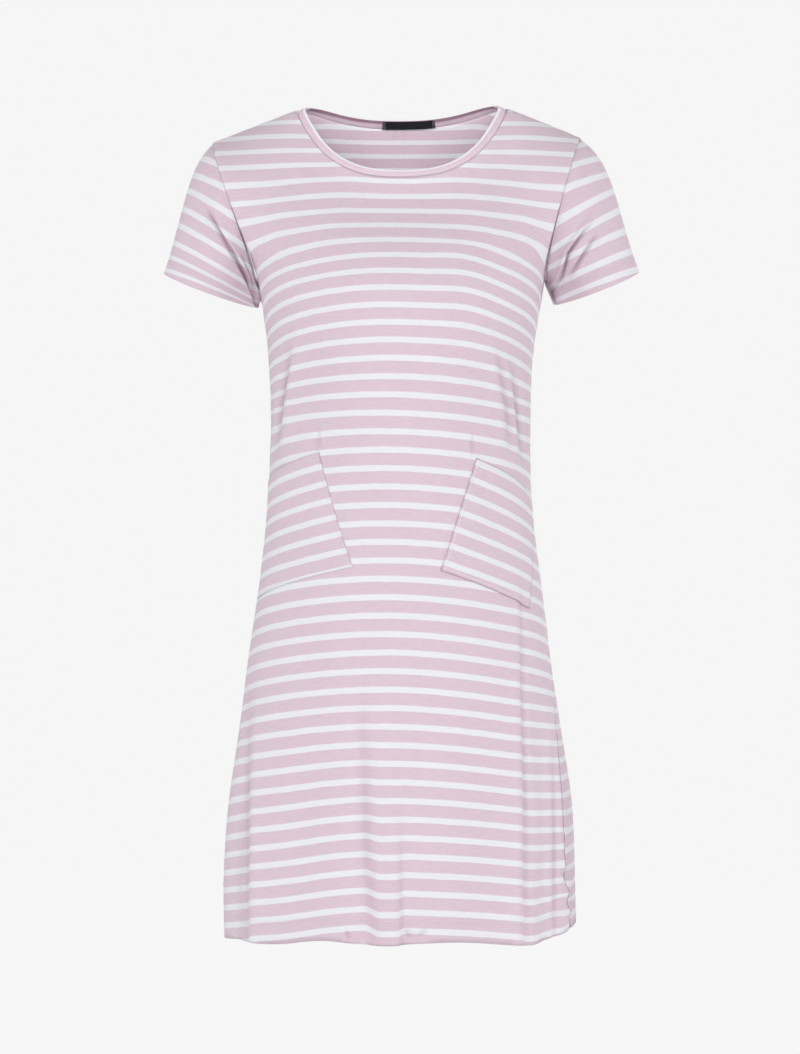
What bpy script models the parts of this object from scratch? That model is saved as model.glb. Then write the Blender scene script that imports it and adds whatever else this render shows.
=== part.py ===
"""A short-sleeved jersey t-shirt dress, hollow, in the form it takes when it is worn.

Metres, +Z up. The dress faces -Y, and the wearer's left is +X. The origin is between the two points
where the shoulder seams meet the neckline, which is where the dress hangs from the wearer.

Each piece of cloth is a grid of points on its outer face. Neighbouring pieces share the points of
the seam between them, and every wall goes inwards from those points, so that the cut edges of two
pieces stand side by side with a small gap.
"""

import math
from collections import namedtuple

import bmesh
import bpy
from mathutils import Vector

# ---------------------------------------------------------------- cloth, metres
WALL = 0.0015               # jersey, with its seam allowance
SEAM_GAP = 0.0003           # between two pieces that are sewn together
MOST_MITRE = 1.6            # how much longer a wall may get where two pieces meet at an angle

# ---------------------------------------------------------------- grids
BODY_ROWS = 25              # hem to underarm
YOKE_ROWS = 12              # underarm to shoulder and neck
SHOULDER_COLUMNS = 9        # armhole to neckline
NECK_COLUMNS = 16           # across the neckline
COLUMNS = 2 * SHOULDER_COLUMNS + NECK_COLUMNS
SLEEVE_ROWS = 7             # armhole to cuff
POCKET_CELLS = 9            # each way
LABEL_CELLS = 6             # along the label

# ---------------------------------------------------------------- body
UNDERARM_DROP = 0.184       # all drops are below the origin
UNDERARM_DIP = 0.030        # how much lower the same row is at the centre front and back

# Sections across the body. Half widths to the wearer's right (-X) and left (+X), depths to the
# front (-Y) and back (+Y), how square the section is (2 is an ellipse), and where the side seams
# are, in degrees round from the centre front.
Ring = namedtuple("Ring", "drop right left front back square seam_right seam_left")
RINGS = (
    Ring(0.150, 0.1570, 0.1560, 0.1240, 0.0950, 2.20, -90.0, 90.0),
    Ring(0.184, 0.1510, 0.1510, 0.1370, 0.0930, 2.20, -90.0, 90.0),
    Ring(0.215, 0.1445, 0.1455, 0.1430, 0.0900, 2.20, -90.0, 90.0),
    Ring(0.245, 0.1408, 0.1400, 0.1420, 0.0860, 2.20, -90.0, 90.0),
    Ring(0.280, 0.1380, 0.1366, 0.1370, 0.0815, 2.20, -90.0, 90.0),
    Ring(0.330, 0.1365, 0.1358, 0.1290, 0.0800, 2.20, -91.0, 89.5),
    Ring(0.377, 0.1380, 0.1355, 0.1270, 0.0860, 2.20, -92.0, 88.5),
    Ring(0.433, 0.1402, 0.1390, 0.1270, 0.0980, 2.20, -93.0, 87.0),
    Ring(0.503, 0.1490, 0.1480, 0.1290, 0.1130, 2.20, -93.0, 86.0),
    Ring(0.581, 0.1610, 0.1575, 0.1320, 0.1240, 2.22, -93.0, 80.5),
    Ring(0.653, 0.1700, 0.1680, 0.1350, 0.1310, 2.26, -92.0, 72.5),
    Ring(0.731, 0.1810, 0.1800, 0.1380, 0.1370, 2.30, -91.0, 64.5),
    Ring(0.812, 0.1858, 0.1830, 0.1400, 0.1420, 2.34, -90.0, 65.0),
    Ring(0.872, 0.1850, 0.1845, 0.1410, 0.1440, 2.36, -89.0, 71.5),
)

# The hem's drop, in degrees round from the centre front.
Hem = namedtuple("Hem", "angle drop")
HEM = (
    Hem(-180.0, 0.8600),
    Hem(-120.0, 0.8650),
    Hem(-90.0, 0.8690),
    Hem(-62.0, 0.8640),
    Hem(-40.0, 0.8630),
    Hem(-20.0, 0.8560),
    Hem(-5.0, 0.8600),
    Hem(12.0, 0.8570),
    Hem(40.0, 0.8640),
    Hem(52.0, 0.8610),
    Hem(72.0, 0.8530),
    Hem(90.0, 0.8525),
    Hem(120.0, 0.8580),
    Hem(180.0, 0.8600),
)

# Soft folds that hang in the skirt, deepest at the hem, and shorter ones across the waist. A depth
# goes in, and a depth below zero is a ridge. Angles are round from the centre front.
Fold = namedtuple("Fold", "top_drop foot_drop top_angle foot_angle width depth")
SKIRT_FOLDS = (
    Fold(0.560, 0.850, -70.0, -66.0, 7.0, 0.0070),
    Fold(0.560, 0.850, -57.0, -55.0, 7.0, -0.0040),
    Fold(0.480, 0.850, -32.0, -31.0, 10.0, 0.0030),
    Fold(0.470, 0.850, -17.0, -15.0, 8.0, -0.0040),
    Fold(0.560, 0.860, -5.0, -3.0, 7.0, 0.0040),
    Fold(0.480, 0.860, 9.0, 9.0, 8.0, -0.0030),
    Fold(0.460, 0.850, 24.0, 24.0, 10.0, 0.0030),
    Fold(0.460, 0.850, 51.0, 42.0, 7.0, -0.0045),
    Fold(0.460, 0.850, 60.0, 52.0, 6.5, 0.0065),
    Fold(0.540, 0.850, 69.0, 61.0, 6.5, -0.0040),
    Fold(0.480, 0.850, 102.0, 104.0, 9.0, 0.0050),
    Fold(0.450, 0.850, 122.0, 124.0, 10.0, -0.0060),
    Fold(0.450, 0.850, 143.0, 143.0, 9.0, 0.0060),
    Fold(0.500, 0.850, 164.0, 162.0, 10.0, -0.0050),
    Fold(0.480, 0.850, 182.0, 181.0, 9.0, 0.0055),
    Fold(0.450, 0.850, 202.0, 203.0, 10.0, -0.0060),
    Fold(0.460, 0.850, 222.0, 224.0, 9.0, 0.0060),
    Fold(0.520, 0.850, 242.0, 244.0, 9.0, -0.0050),
)
WAIST_FOLDS = (
    Fold(0.230, 0.380, -58.0, -76.0, 7.0, 0.0040),
    Fold(0.220, 0.390, 52.0, 63.0, 7.0, 0.0040),
    Fold(0.235, 0.410, 64.0, 74.0, 6.0, 0.0035),
    Fold(0.270, 0.400, 116.0, 128.0, 9.0, 0.0050),
    Fold(0.290, 0.420, 150.0, 158.0, 10.0, 0.0040),
    Fold(0.280, 0.410, 208.0, 200.0, 10.0, 0.0040),
    Fold(0.260, 0.390, 244.0, 232.0, 9.0, 0.0050),
)

# ---------------------------------------------------------------- yoke: shoulders, neck, armholes
# Points of each side as (x, drop). The two sides differ a little, as the dress sits on its wearer.
# The splay is how flat the sleeve leaves the shoulder point, and the start is how far it keeps to
# that direction, as a share of the way to the cuff.
Side = namedtuple("Side", "sign shoulder neck underarm_x armhole_bow cuff_outer cuff_inner "
                          "splay start")
SIDES = {
    "right": Side(-1, (-0.1974, 0.0368), (-0.1113, 0.0030), -0.1510, 0.000,
                  (-0.2489, 0.1743), (-0.1490, 0.2110), 0.86, 0.22),
    "left": Side(1, (0.1880, 0.0315), (0.1130, 0.0010), 0.1510, -0.010,
                 (0.2499, 0.1726), (0.1600, 0.2080), 0.93, 0.26),
}
NECK_FRONT_DROP = 0.0800    # centre front of the neckline seam
NECK_FRONT_DEPTH = 0.0700
NECK_BACK_DROP = 0.0135
NECK_BACK_FLATNESS = 2.4    # how level the back neckline stays near the corners, 1 as the front
NECK_BACK_DEPTH = 0.0580
# Handles of the front neckline's curve from a corner to the centre, as shares of the half width
# from the centre and of the drop.
NECK_CORNER_HANDLE = (0.83, 0.58)
NECK_CENTRE_HANDLE = (0.60, 1.03)
ARMHOLE_REACH = 0.0690      # how far the armhole's curve is drawn forward, or back, of its chord
ARMHOLE_RISE = 0.0150       # how soon it turns up from the underarm
ARMHOLE_FALL = 0.0240       # how soon it turns down from the shoulder
ARMHOLE_FACE = (0.80, 0.60) # the cloth's run across the middle of the armhole: outward, backward
ARMHOLE_FACE_AT = 0.45      # where along the armhole that is

# How the cloth leaves the shoulder seam and the neckline: outward and down, as handles of each
# column's curve. Place 0 is the shoulder point, 1 the neck corner, 2 the centre of the neckline.
Lead = namedtuple("Lead", "place front_out front_down back_out back_down")
LEADS = (
    Lead(0.0, 0.0700, 0.0240, 0.0700, 0.0240),
    Lead(1.0, 0.0480, 0.0260, 0.0560, 0.0230),
    Lead(1.5, 0.0340, 0.0360, 0.0300, 0.0360),
    Lead(2.0, 0.0300, 0.0400, 0.0170, 0.0500),
)
EASE_PASSES = 6             # smoothing of the yoke's cloth between its seams
EASE_SPREAD = 4             # how many columns and rows from the neck corner take part fully
EASE_STEP = 0.5             # how far a point goes towards its neighbours' middle in one pass

# ---------------------------------------------------------------- sleeves
CUFF_DEPTH = 0.0880         # front to back
CUFF_TILT = 0.0065          # how much lower the cuff's front is than its ends, and its back higher
SLEEVE_END = 0.36           # length of the curve's handle at the cuff, as a share of the way there
SLEEVE_SWELL = 0.15         # how much the sleeve first swells forward and back

# Folds where spare cloth gathers above the cuff. The turn is round from the underarm, to the front
# when above zero, and the reach is the share of the way from the armhole to the cuff.
SleeveFold = namedtuple("SleeveFold", "turn reach turn_width reach_width depth")
SLEEVE_FOLDS = (
    SleeveFold(42.0, 0.55, 20.0, 0.35, 0.0060),
    SleeveFold(-48.0, 0.55, 20.0, 0.35, 0.0050),
)

# ---------------------------------------------------------------- what is sewn on
BINDING_WIDTH = 0.0086
BINDING_THICKNESS = 0.0026
BINDING_PROUD = 0.0005      # of the panels' outer face
BINDING_START = 0.0003      # off the neckline seam, a little more than half a gap for its tight turns
BINDING_ROUND = 0.0006      # rounding of its free edge
BINDING_LIE = 2.5           # how many columns from a shoulder seam it lies along that seam
POCKET_GAP = 0.0006         # pocket to panel, over the panel's facets

# Each pocket's corners, in degrees to its own side from the dress's centre front, and drops.
PocketCorner = namedtuple("PocketCorner", "angle drop")
Pocket = namedtuple("Pocket", "sign foot_inner foot_outer top_outer top_inner")
POCKETS = {
    "right": Pocket(-1, PocketCorner(14.3, 0.4810), PocketCorner(76.0, 0.5160),
                    PocketCorner(83.0, 0.3940), PocketCorner(33.7, 0.3650)),
    "left": Pocket(1, PocketCorner(17.3, 0.4847), PocketCorner(63.0, 0.5247),
                   PocketCorner(83.0, 0.4120), PocketCorner(33.7, 0.3713)),
}

LABEL_LENGTH = 0.0575
LABEL_WIDTH = 0.0085
LABEL_THICKNESS = 0.0008
LABEL_CENTRE_X = 0.0085

PINK = (0.680, 0.530, 0.625)
BLACK = (0.012, 0.012, 0.014)
CLOTH_ROUGHNESS = 0.85


# ---------------------------------------------------------------- curves and tables
def lerp(start, end, share):
    return start + (end - start) * share


def smooth(share):
    """0 to 1 with flat ends."""
    share = min(max(share, 0.0), 1.0)
    return share * share * (3 - 2 * share)


def bump(distance, width):
    """1 at no distance, falling smoothly to nothing."""
    return math.exp(-((distance / width) ** 2))


def bezier(start, first, second, end, share):
    rest = 1 - share
    return (start * rest**3 + first * (3 * rest * rest * share)
            + second * (3 * rest * share * share) + end * share**3)


def hermite(start, leave, end, arrive, share):
    """A curve between two points that has the given directions at its ends."""
    return bezier(start, start + leave / 3, end - arrive / 3, end, share)


def read(table, key, column):
    """One column of a table, on the smooth curve that goes through its rows."""
    keys = [row[0] for row in table]
    values = [getattr(row, column) for row in table]
    key = min(max(key, keys[0]), keys[-1])
    last = len(keys) - 1
    low = max(i for i in range(last) if keys[i] <= key)

    def slope(i):
        before, after = max(i - 1, 0), min(i + 1, last)
        return (values[after] - values[before]) / (keys[after] - keys[before])

    span = keys[low + 1] - keys[low]
    return hermite(values[low], slope(low) * span, values[low + 1], slope(low + 1) * span,
                   (key - keys[low]) / span)


# ---------------------------------------------------------------- body
def fold_in(angle, drop):
    """How far the folds take the cloth in at this place."""
    total = 0.0
    for fold in SKIRT_FOLDS + WAIST_FOLDS:
        share = (drop - fold.top_drop) / (fold.foot_drop - fold.top_drop)
        if share <= 0:
            continue
        if fold in WAIST_FOLDS:
            strength = math.sin(math.pi * share) if share < 1 else 0.0
        else:
            strength = smooth(share)
        middle = lerp(fold.top_angle, fold.foot_angle, min(share, 1.0))
        away = (angle - middle + 180) % 360 - 180
        total += fold.depth * strength * bump(away, fold.width)
    return total


def body_point(angle, drop):
    """A point of the body's outer face, so many degrees round from the centre front."""
    turn = math.radians(angle)
    across, ahead = math.sin(turn), math.cos(turn)
    width = read(RINGS, drop, "left" if across > 0 else "right")
    depth = read(RINGS, drop, "front" if ahead > 0 else "back")
    power = 2 / read(RINGS, drop, "square")
    x = width * math.copysign(abs(across) ** power, across)
    y = -depth * math.copysign(abs(ahead) ** power, ahead)
    inward = fold_in(angle, drop)
    return Vector((x - inward * across, y + inward * ahead, -drop))


def column_angle(panel, column, drop):
    """Where a column of a panel is: columns go from the wearer's right (-X) to the left."""
    right = read(RINGS, drop, "seam_right")
    left = read(RINGS, drop, "seam_left")
    if panel == "back":
        left -= 360
    return lerp(right, left, column / COLUMNS)


def hem_drop(angle):
    return read(HEM, (angle + 180) % 360 - 180, "drop")


def underarm_drop(angle):
    return UNDERARM_DROP + UNDERARM_DIP * abs(math.cos(math.radians(angle)))


def body_row(panel, share):
    """One row of the body, from the hem at share 0 to the underarm at share 1."""
    points = []
    for column in range(COLUMNS + 1):
        middle = lerp(hem_drop(0), UNDERARM_DROP, share)
        angle = column_angle(panel, column, middle)
        drop = lerp(hem_drop(angle), underarm_drop(angle), share)
        points.append(body_point(column_angle(panel, column, drop), drop))
    return points


# ---------------------------------------------------------------- yoke
def out_sign(panel):
    """The front's cloth lies towards -Y and the back's towards +Y."""
    return -1 if panel == "front" else 1


def shoulder_point(side):
    x, drop = SIDES[side].shoulder
    return Vector((x, 0.0, -drop))


def neck_corner(side):
    x, drop = SIDES[side].neck
    return Vector((x, 0.0, -drop))


def top_point(panel, column):
    """The panel's top edge: shoulder seam, neckline, shoulder seam."""
    from_left = COLUMNS - column
    if column <= SHOULDER_COLUMNS:
        return lerp(shoulder_point("right"), neck_corner("right"), column / SHOULDER_COLUMNS)
    if from_left <= SHOULDER_COLUMNS:
        return lerp(shoulder_point("left"), neck_corner("left"), from_left / SHOULDER_COLUMNS)
    share = (column - SHOULDER_COLUMNS) / NECK_COLUMNS
    half = 1 - abs(2 * share - 1)       # 0 at either corner, 1 at the centre
    aside, deep = (bezier(start, first, second, end, half) for start, first, second, end in
                   zip((1.0, 0.0), NECK_CORNER_HANDLE, NECK_CENTRE_HANDLE, (0.0, 1.0)))
    across = (1 - math.copysign(aside, 0.5 - share)) / 2
    corner = lerp(neck_corner("right"), neck_corner("left"), across)
    if panel == "front":
        depth, drop = NECK_FRONT_DEPTH * deep, NECK_FRONT_DROP * deep
    else:
        depth, drop = NECK_BACK_DEPTH * deep, NECK_BACK_DROP * deep**NECK_BACK_FLATNESS
    return corner + Vector((0.0, out_sign(panel) * depth, -drop))


def top_place(column):
    """0 at a shoulder point, 1 at a neck corner, 2 at the centre of the neckline."""
    column = min(column, COLUMNS - column)
    if column <= SHOULDER_COLUMNS:
        return column / SHOULDER_COLUMNS
    share = (column - SHOULDER_COLUMNS) / NECK_COLUMNS
    return 1 + math.sin(math.pi * share)


def column_point(panel, column, share):
    """A column's own curve from the underarm row up to the top edge."""
    angle = column_angle(panel, column, UNDERARM_DROP)
    drop = underarm_drop(angle)
    foot = body_point(angle, drop)
    rising = (foot - body_point(angle, drop + 0.01)) / 0.01
    top = top_point(panel, column)
    place = top_place(column)
    out = out_sign(panel) * read(LEADS, place, panel + "_out")
    lead = Vector((0.0, out, -read(LEADS, place, panel + "_down")))
    handle = rising * ((top.z - foot.z) / 3)
    return bezier(foot, foot + handle, top + lead, top, share)


def armhole_point(panel, side, share):
    """The armhole seam, from the underarm up to the shoulder point."""
    data = SIDES[side]
    foot = Vector((data.underarm_x, 0.0, -UNDERARM_DROP))
    top = shoulder_point(side)
    reach = out_sign(panel) * ARMHOLE_REACH
    bow = data.armhole_bow
    return bezier(foot, foot + Vector((bow / 2, reach, ARMHOLE_RISE)),
                  top + Vector((bow, reach, -ARMHOLE_FALL)), top, share)


def leave_armhole(panel, side, share):
    """Which way the panel's face runs off over the armhole, towards the sleeve."""
    sign = SIDES[side].sign
    behind = -out_sign(panel)
    low = Vector((0.0, behind, 0.0))
    middle = Vector((sign * ARMHOLE_FACE[0], behind * ARMHOLE_FACE[1], 0.0))
    high = (shoulder_point(side) - neck_corner(side)).normalized()
    if share < ARMHOLE_FACE_AT:
        return lerp(low, middle, smooth(share / ARMHOLE_FACE_AT)).normalized()
    above = (share - ARMHOLE_FACE_AT) / (1 - ARMHOLE_FACE_AT)
    return lerp(middle, high, smooth(above)).normalized()


def shoulder_row(panel, side, share, inner, next_inner):
    """Points from the neck corner's column out to the armhole, the armhole's point last."""
    end = armhole_point(panel, side, share)
    chord = (end - inner).length
    along_seam = (shoulder_point(side) - neck_corner(side)).normalized()
    leave = lerp((inner - next_inner).normalized(), along_seam, share**4).normalized()
    arrive = leave_armhole(panel, side, share)
    return [hermite(inner, leave * chord, end, arrive * chord, i / SHOULDER_COLUMNS)
            for i in range(1, SHOULDER_COLUMNS + 1)]


def yoke_row(panel, share):
    """One row of the yoke, from the underarm row at share 0 to the top edge at share 1."""
    first, last = SHOULDER_COLUMNS, COLUMNS - SHOULDER_COLUMNS
    middle = [column_point(panel, column, share) for column in range(first, last + 1)]
    right = shoulder_row(panel, "right", share, middle[0], middle[1])
    left = shoulder_row(panel, "left", share, middle[-1], middle[-2])
    return right[::-1] + middle + left


def panel_rows(panel):
    """The whole grid of a panel, hem first."""
    rows = [body_row(panel, row / BODY_ROWS) for row in range(BODY_ROWS + 1)]
    underarm = rows[-1]
    plain = yoke_row(panel, 0.0)
    for step in range(1, YOKE_ROWS + 1):
        share = step / YOKE_ROWS
        row = yoke_row(panel, share)
        fade = (1 - share) ** 3
        for column in range(COLUMNS + 1):
            row[column] = row[column] + (underarm[column] - plain[column]) * fade
        row[0] = armhole_point(panel, "right", share)
        row[-1] = armhole_point(panel, "left", share)
        rows.append(row)
    ease(rows)
    return rows


def ease(rows):
    """Let the yoke's cloth settle between its seams, most near the underarms and neck corners."""
    for _ in range(EASE_PASSES):
        settled = [list(row) for row in rows]
        for r in range(BODY_ROWS - 2, len(rows) - 1):
            for c in range(1, COLUMNS):
                near = rows[r - 1][c] + rows[r + 1][c] + rows[r][c - 1] + rows[r][c + 1]
                edge = min(c, COLUMNS - c)
                at_underarm = 1 - edge / SHOULDER_COLUMNS
                at_corner = bump(edge - SHOULDER_COLUMNS, EASE_SPREAD)
                at_corner *= smooth((r - BODY_ROWS) / EASE_SPREAD)
                step = EASE_STEP * max(at_underarm, at_corner)
                settled[r][c] = lerp(rows[r][c], near / 4, step)
        for r, row in enumerate(settled):
            rows[r][:] = row


# ---------------------------------------------------------------- sleeves
def cuff_ends(side):
    """The cuff's inner and outer corner, and the direction up the sleeve from it."""
    data = SIDES[side]
    inner = Vector((data.cuff_inner[0], 0.0, -data.cuff_inner[1]))
    outer = Vector((data.cuff_outer[0], 0.0, -data.cuff_outer[1]))
    along = (inner - outer).normalized()
    return inner, outer, Vector((-along.z, 0.0, along.x)) * -data.sign


def cuff_point(side, turn):
    """The cuff's edge, round from its inner corner under the arm, by way of the front."""
    inner, outer, up_sleeve = cuff_ends(side)
    ahead = math.sin(turn)
    centre, arm = (inner + outer) / 2, (inner - outer) / 2
    across = Vector((0.0, -CUFF_DEPTH / 2 * ahead, 0.0))
    return centre + arm * math.cos(turn) + across - up_sleeve * (CUFF_TILT * ahead)


def sleeve_rows(side, front, back):
    """Rings from the armhole, whose points are those of the panels, to the cuff."""
    column = 0 if side == "right" else COLUMNS
    up = [row[column] for row in front[BODY_ROWS:]]
    down = [row[column] for row in back[BODY_ROWS:]][::-1]
    loop = up + down[1:-1]
    data = SIDES[side]
    _, _, up_sleeve = cuff_ends(side)
    rows = []
    for row in range(SLEEVE_ROWS + 1):
        share = row / SLEEVE_ROWS
        ring = []
        for i, start in enumerate(loop):
            turn = 2 * math.pi * i / len(loop)
            end = cuff_point(side, turn)
            run = (end - start).length
            splay = data.splay * smooth(1 - abs(turn / math.pi - 1))
            leave = Vector((data.sign * splay, -SLEEVE_SWELL * math.sin(turn),
                            -math.sqrt(1 - splay * splay)))
            ring.append(bezier(start, start + leave * (run * data.start),
                               end + up_sleeve * (run * SLEEVE_END), end, share))
        rows.append(ring)
    fold_sleeve(rows)
    return rows


def fold_sleeve(rows):
    """Take the gathered places of a sleeve in towards its middle."""
    for row, ring in enumerate(rows[1:], start=1):
        middle = sum(ring, Vector()) / len(ring)
        for i, point in enumerate(ring):
            turn = 360 * i / len(ring)
            for fold in SLEEVE_FOLDS:
                away = (turn - fold.turn + 180) % 360 - 180
                strength = bump(away, fold.turn_width)
                strength *= bump(row / SLEEVE_ROWS - fold.reach, fold.reach_width)
                strength *= smooth(row / 3)
                point += (middle - point).normalized() * (fold.depth * strength)


# ---------------------------------------------------------------- pieces and seams
class Cloth:
    """A grid of outer points, with the direction out of the cloth at each."""

    def __init__(self, rows, tube=False, flip=False):
        self.rows = rows
        self.tube = tube
        self.flip = flip
        self.own_out = self.outward()
        self.out = [list(row) for row in self.own_out]
        self.shift = [[Vector() for _ in row] for row in rows]

    def cells(self):
        across = len(self.rows[0])
        for r in range(len(self.rows) - 1):
            for c in range(across if self.tube else across - 1):
                after = (c + 1) % across
                yield (r, c), (r, after), (r + 1, after), (r + 1, c)

    def outward(self):
        sums = [[Vector() for _ in row] for row in self.rows]
        for cell in self.cells():
            a, b, c, d = (self.rows[r][i] for r, i in cell)
            normal = (c - a).cross(d - b)
            if self.flip:
                normal.negate()
            for r, i in cell:
                sums[r][i] += normal
        return [[total.normalized() for total in row] for row in sums]

    def into(self, place, along):
        """The direction from a seam into this piece, square to the seam."""
        r, c = place
        across = len(self.rows[0])
        near = Vector()
        for dr, dc in ((1, 0), (-1, 0), (0, 1), (0, -1), (1, 1), (1, -1), (-1, 1), (-1, -1)):
            row, column = r + dr, c + dc
            if self.tube:
                column %= across
            if 0 <= row < len(self.rows) and 0 <= column < across:
                near += (self.rows[row][column] - self.rows[r][c]).normalized()
        direction = self.own_out[r][c].cross(along).normalized()
        return direction if direction.dot(near) > 0 else -direction


def join(first, first_places, second, second_places):
    """Part two pieces along a shared seam, each by half of the gap."""
    for i, (a, b) in enumerate(zip(first_places, second_places)):
        before = first_places[max(i - 1, 0)]
        after = first_places[min(i + 1, len(first_places) - 1)]
        along = (first.rows[after[0]][after[1]] - first.rows[before[0]][before[1]]).normalized()
        into_a, into_b = first.into(a, along), second.into(b, along)
        out_a, out_b = first.own_out[a[0]][a[1]], second.own_out[b[0]][b[1]]
        bend = (into_a.dot(into_b) + 1) / 2     # 0 where the seam is flat, 1 where it is folded
        apart = ((into_a - into_b) * (1 - bend) + (out_b - out_a) * bend).normalized()
        first.shift[a[0]][a[1]] += apart * (SEAM_GAP / 2)
        second.shift[b[0]][b[1]] -= apart * (SEAM_GAP / 2)


def share_outward(panels, sleeves):
    """Give every point that pieces share one direction, so that their cut edges are parallel."""
    found = {}
    for group, pieces in (("panel", panels), ("sleeve", sleeves)):
        for piece in pieces:
            for r, row in enumerate(piece.rows):
                for c, point in enumerate(row):
                    key = tuple(round(value, 6) for value in point)
                    found.setdefault(key, {}).setdefault(group, []).append((piece, r, c))
    for groups in found.values():
        places = [place for group in groups.values() for place in group]
        if len(places) == 1:
            continue
        means = [sum((p.own_out[r][c] for p, r, c in group), Vector()).normalized()
                 for group in groups.values()]
        shared = sum(means, Vector()).normalized()
        for piece, r, c in places:
            piece.out[r][c] = shared


# ---------------------------------------------------------------- solids
def add_object(name, corners, faces, colour):
    mesh = bpy.data.meshes.new(name)
    shape = bmesh.new()
    corners = [shape.verts.new(corner) for corner in corners]
    for face in faces:
        shape.faces.new([corners[i] for i in face])
    bmesh.ops.triangulate(shape, faces=shape.faces[:], quad_method="SHORT_EDGE")
    shape.to_mesh(mesh)
    shape.free()
    mesh.shade_smooth()
    obj = bpy.data.objects.new(name, mesh)
    bpy.context.scene.collection.objects.link(obj)
    material = bpy.data.materials.new(name)
    material.use_nodes = True
    shader = material.node_tree.nodes["Principled BSDF"]
    shader.inputs["Base Color"].default_value = (*colour, 1.0)
    shader.inputs["Roughness"].default_value = CLOTH_ROUGHNESS
    shader.inputs["Metallic"].default_value = 0.0
    mesh.materials.append(material)
    return obj


def add_wall(name, piece, colour, raised=0.0, thickness=WALL):
    """Give a piece its wall, inwards from its outer points, as one closed solid."""
    across = len(piece.rows[0])
    count = len(piece.rows) * across
    outer, inner = [], []
    for r, row in enumerate(piece.rows):
        for c, point in enumerate(row):
            out, own = piece.out[r][c], piece.own_out[r][c]
            mitre = min(MOST_MITRE, 1 / max(out.dot(own), 0.5))
            face = point + piece.shift[r][c] + out * raised
            outer.append(face)
            inner.append(face - out * (thickness * mitre))
    faces = []
    for cell in piece.cells():
        ring = [r * across + c for r, c in cell]
        if piece.flip:
            ring.reverse()
        faces.append(ring)
        faces.append([i + count for i in reversed(ring)])
    edges = {(a, b) for face in faces[::2] for a, b in zip(face, face[1:] + face[:1])}
    for a, b in sorted(edges):
        if (b, a) not in edges:
            faces.append([b, a, a + count, b + count])
    return add_object(name, outer + inner, faces, colour)


# ---------------------------------------------------------------- binding and label
def neck_loop(front, back):
    """Neckline points in order, each with three directions: out of the cloth, square off its edge,
    and the one that the binding takes."""
    top = len(front.rows) - 1
    first, last = SHOULDER_COLUMNS, COLUMNS - SHOULDER_COLUMNS
    loop = [(front.rows[top][c], front.out[top][c]) for c in range(first, last + 1)]
    loop += [(back.rows[top][c], back.out[top][c]) for c in range(last - 1, first, -1)]
    placed = []
    for i, (point, out) in enumerate(loop):
        along = (loop[(i + 1) % len(loop)][0] - loop[i - 1][0]).normalized()
        off = lie = out.cross(along).normalized()
        for side, corner in (("right", 0), ("left", NECK_COLUMNS), ("right", len(loop))):
            seam = (neck_corner(side) - shoulder_point(side)).normalized()
            lie = lerp(lie, seam, bump(i - corner, BINDING_LIE)).normalized()
        placed.append((point, out, off, lie))
    return placed


def part_from_binding(piece, loop):
    """Draw a panel's neckline back by half of the gap."""
    off_edge = {tuple(point): off for point, _, off, _ in loop}
    for column in range(SHOULDER_COLUMNS, COLUMNS - SHOULDER_COLUMNS + 1):
        piece.shift[-1][column] -= off_edge[tuple(piece.rows[-1][column])] * (SEAM_GAP / 2)


def add_binding(loop):
    """A narrow folded band that stands off the neckline, rounded at its free edge."""
    width, bend = BINDING_WIDTH, BINDING_ROUND
    high, low = BINDING_PROUD, BINDING_PROUD - BINDING_THICKNESS
    section = (
        (0.0, low), (0.0, high), (width - 2.5 * bend, high), (width - bend, high - bend / 3),
        (width, high - 1.5 * bend), (width, low + 1.5 * bend), (width - bend, low + bend / 3),
        (width - 2.5 * bend, low),
    )
    corners = [point + off * BINDING_START + lie * reach + out * height
               for point, out, off, lie in loop for reach, height in section]
    count = len(section)
    faces = []
    for i in range(len(loop)):
        after = (i + 1) % len(loop)
        for j in range(count):
            next_j = (j + 1) % count
            faces.append([i * count + j, i * count + next_j,
                          after * count + next_j, after * count + j][::-1])
    return add_object("neck_binding", corners, faces, PINK)


def add_label(loop):
    """A small woven label, sewn by its ends inside the binding at the centre back."""
    back = loop[NECK_COLUMNS:] + loop[:1]

    def at(x):
        for (p, out_p, off_p, _), (q, out_q, off_q, _) in zip(back, back[1:]):
            if q.x <= x <= p.x:
                share = (p.x - x) / (p.x - q.x)
                return lerp(p, q, share), lerp(out_p, out_q, share), lerp(off_p, off_q, share)

    height = BINDING_PROUD - BINDING_THICKNESS - SEAM_GAP
    corners = []
    for layer in (height, height - LABEL_THICKNESS):
        for i in range(LABEL_CELLS + 1):
            x = LABEL_CENTRE_X + LABEL_LENGTH * (i / LABEL_CELLS - 0.5)
            point, out, off = at(x)
            for reach in (BINDING_WIDTH - LABEL_WIDTH, BINDING_WIDTH):
                corners.append(point + off * reach + out * layer)
    step = 2 * (LABEL_CELLS + 1)
    faces = [[0, step, 1 + step, 1], [step - 1, 2 * step - 1, 2 * step - 2, step - 2]]
    for i in range(0, step - 2, 2):
        faces.append([i, i + 1, i + 3, i + 2])
        faces.append([i + step, i + 2 + step, i + 3 + step, i + 1 + step])
        faces.append([i + 2, i + 2 + step, i + step, i])
        faces.append([i + 1, i + 1 + step, i + 3 + step, i + 3])
    return add_object("neck_label", corners, faces, BLACK)


# ---------------------------------------------------------------- pockets
def on_panel(front, angle, drop):
    """A point of the front panel's grid and the direction out of it, between its columns and rows."""
    right, left = read(RINGS, drop, "seam_right"), read(RINGS, drop, "seam_left")
    angle += (right + left) / 2
    column = (angle - right) / (left - right) * COLUMNS
    row = (hem_drop(angle) - drop) / (hem_drop(angle) - underarm_drop(angle)) * BODY_ROWS
    r, c = int(row), int(column)

    def between(grid):
        low = lerp(grid[r][c], grid[r][c + 1], column - c)
        high = lerp(grid[r + 1][c], grid[r + 1][c + 1], column - c)
        return lerp(low, high, row - r)

    return between(front.rows), between(front.out).normalized()


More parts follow.
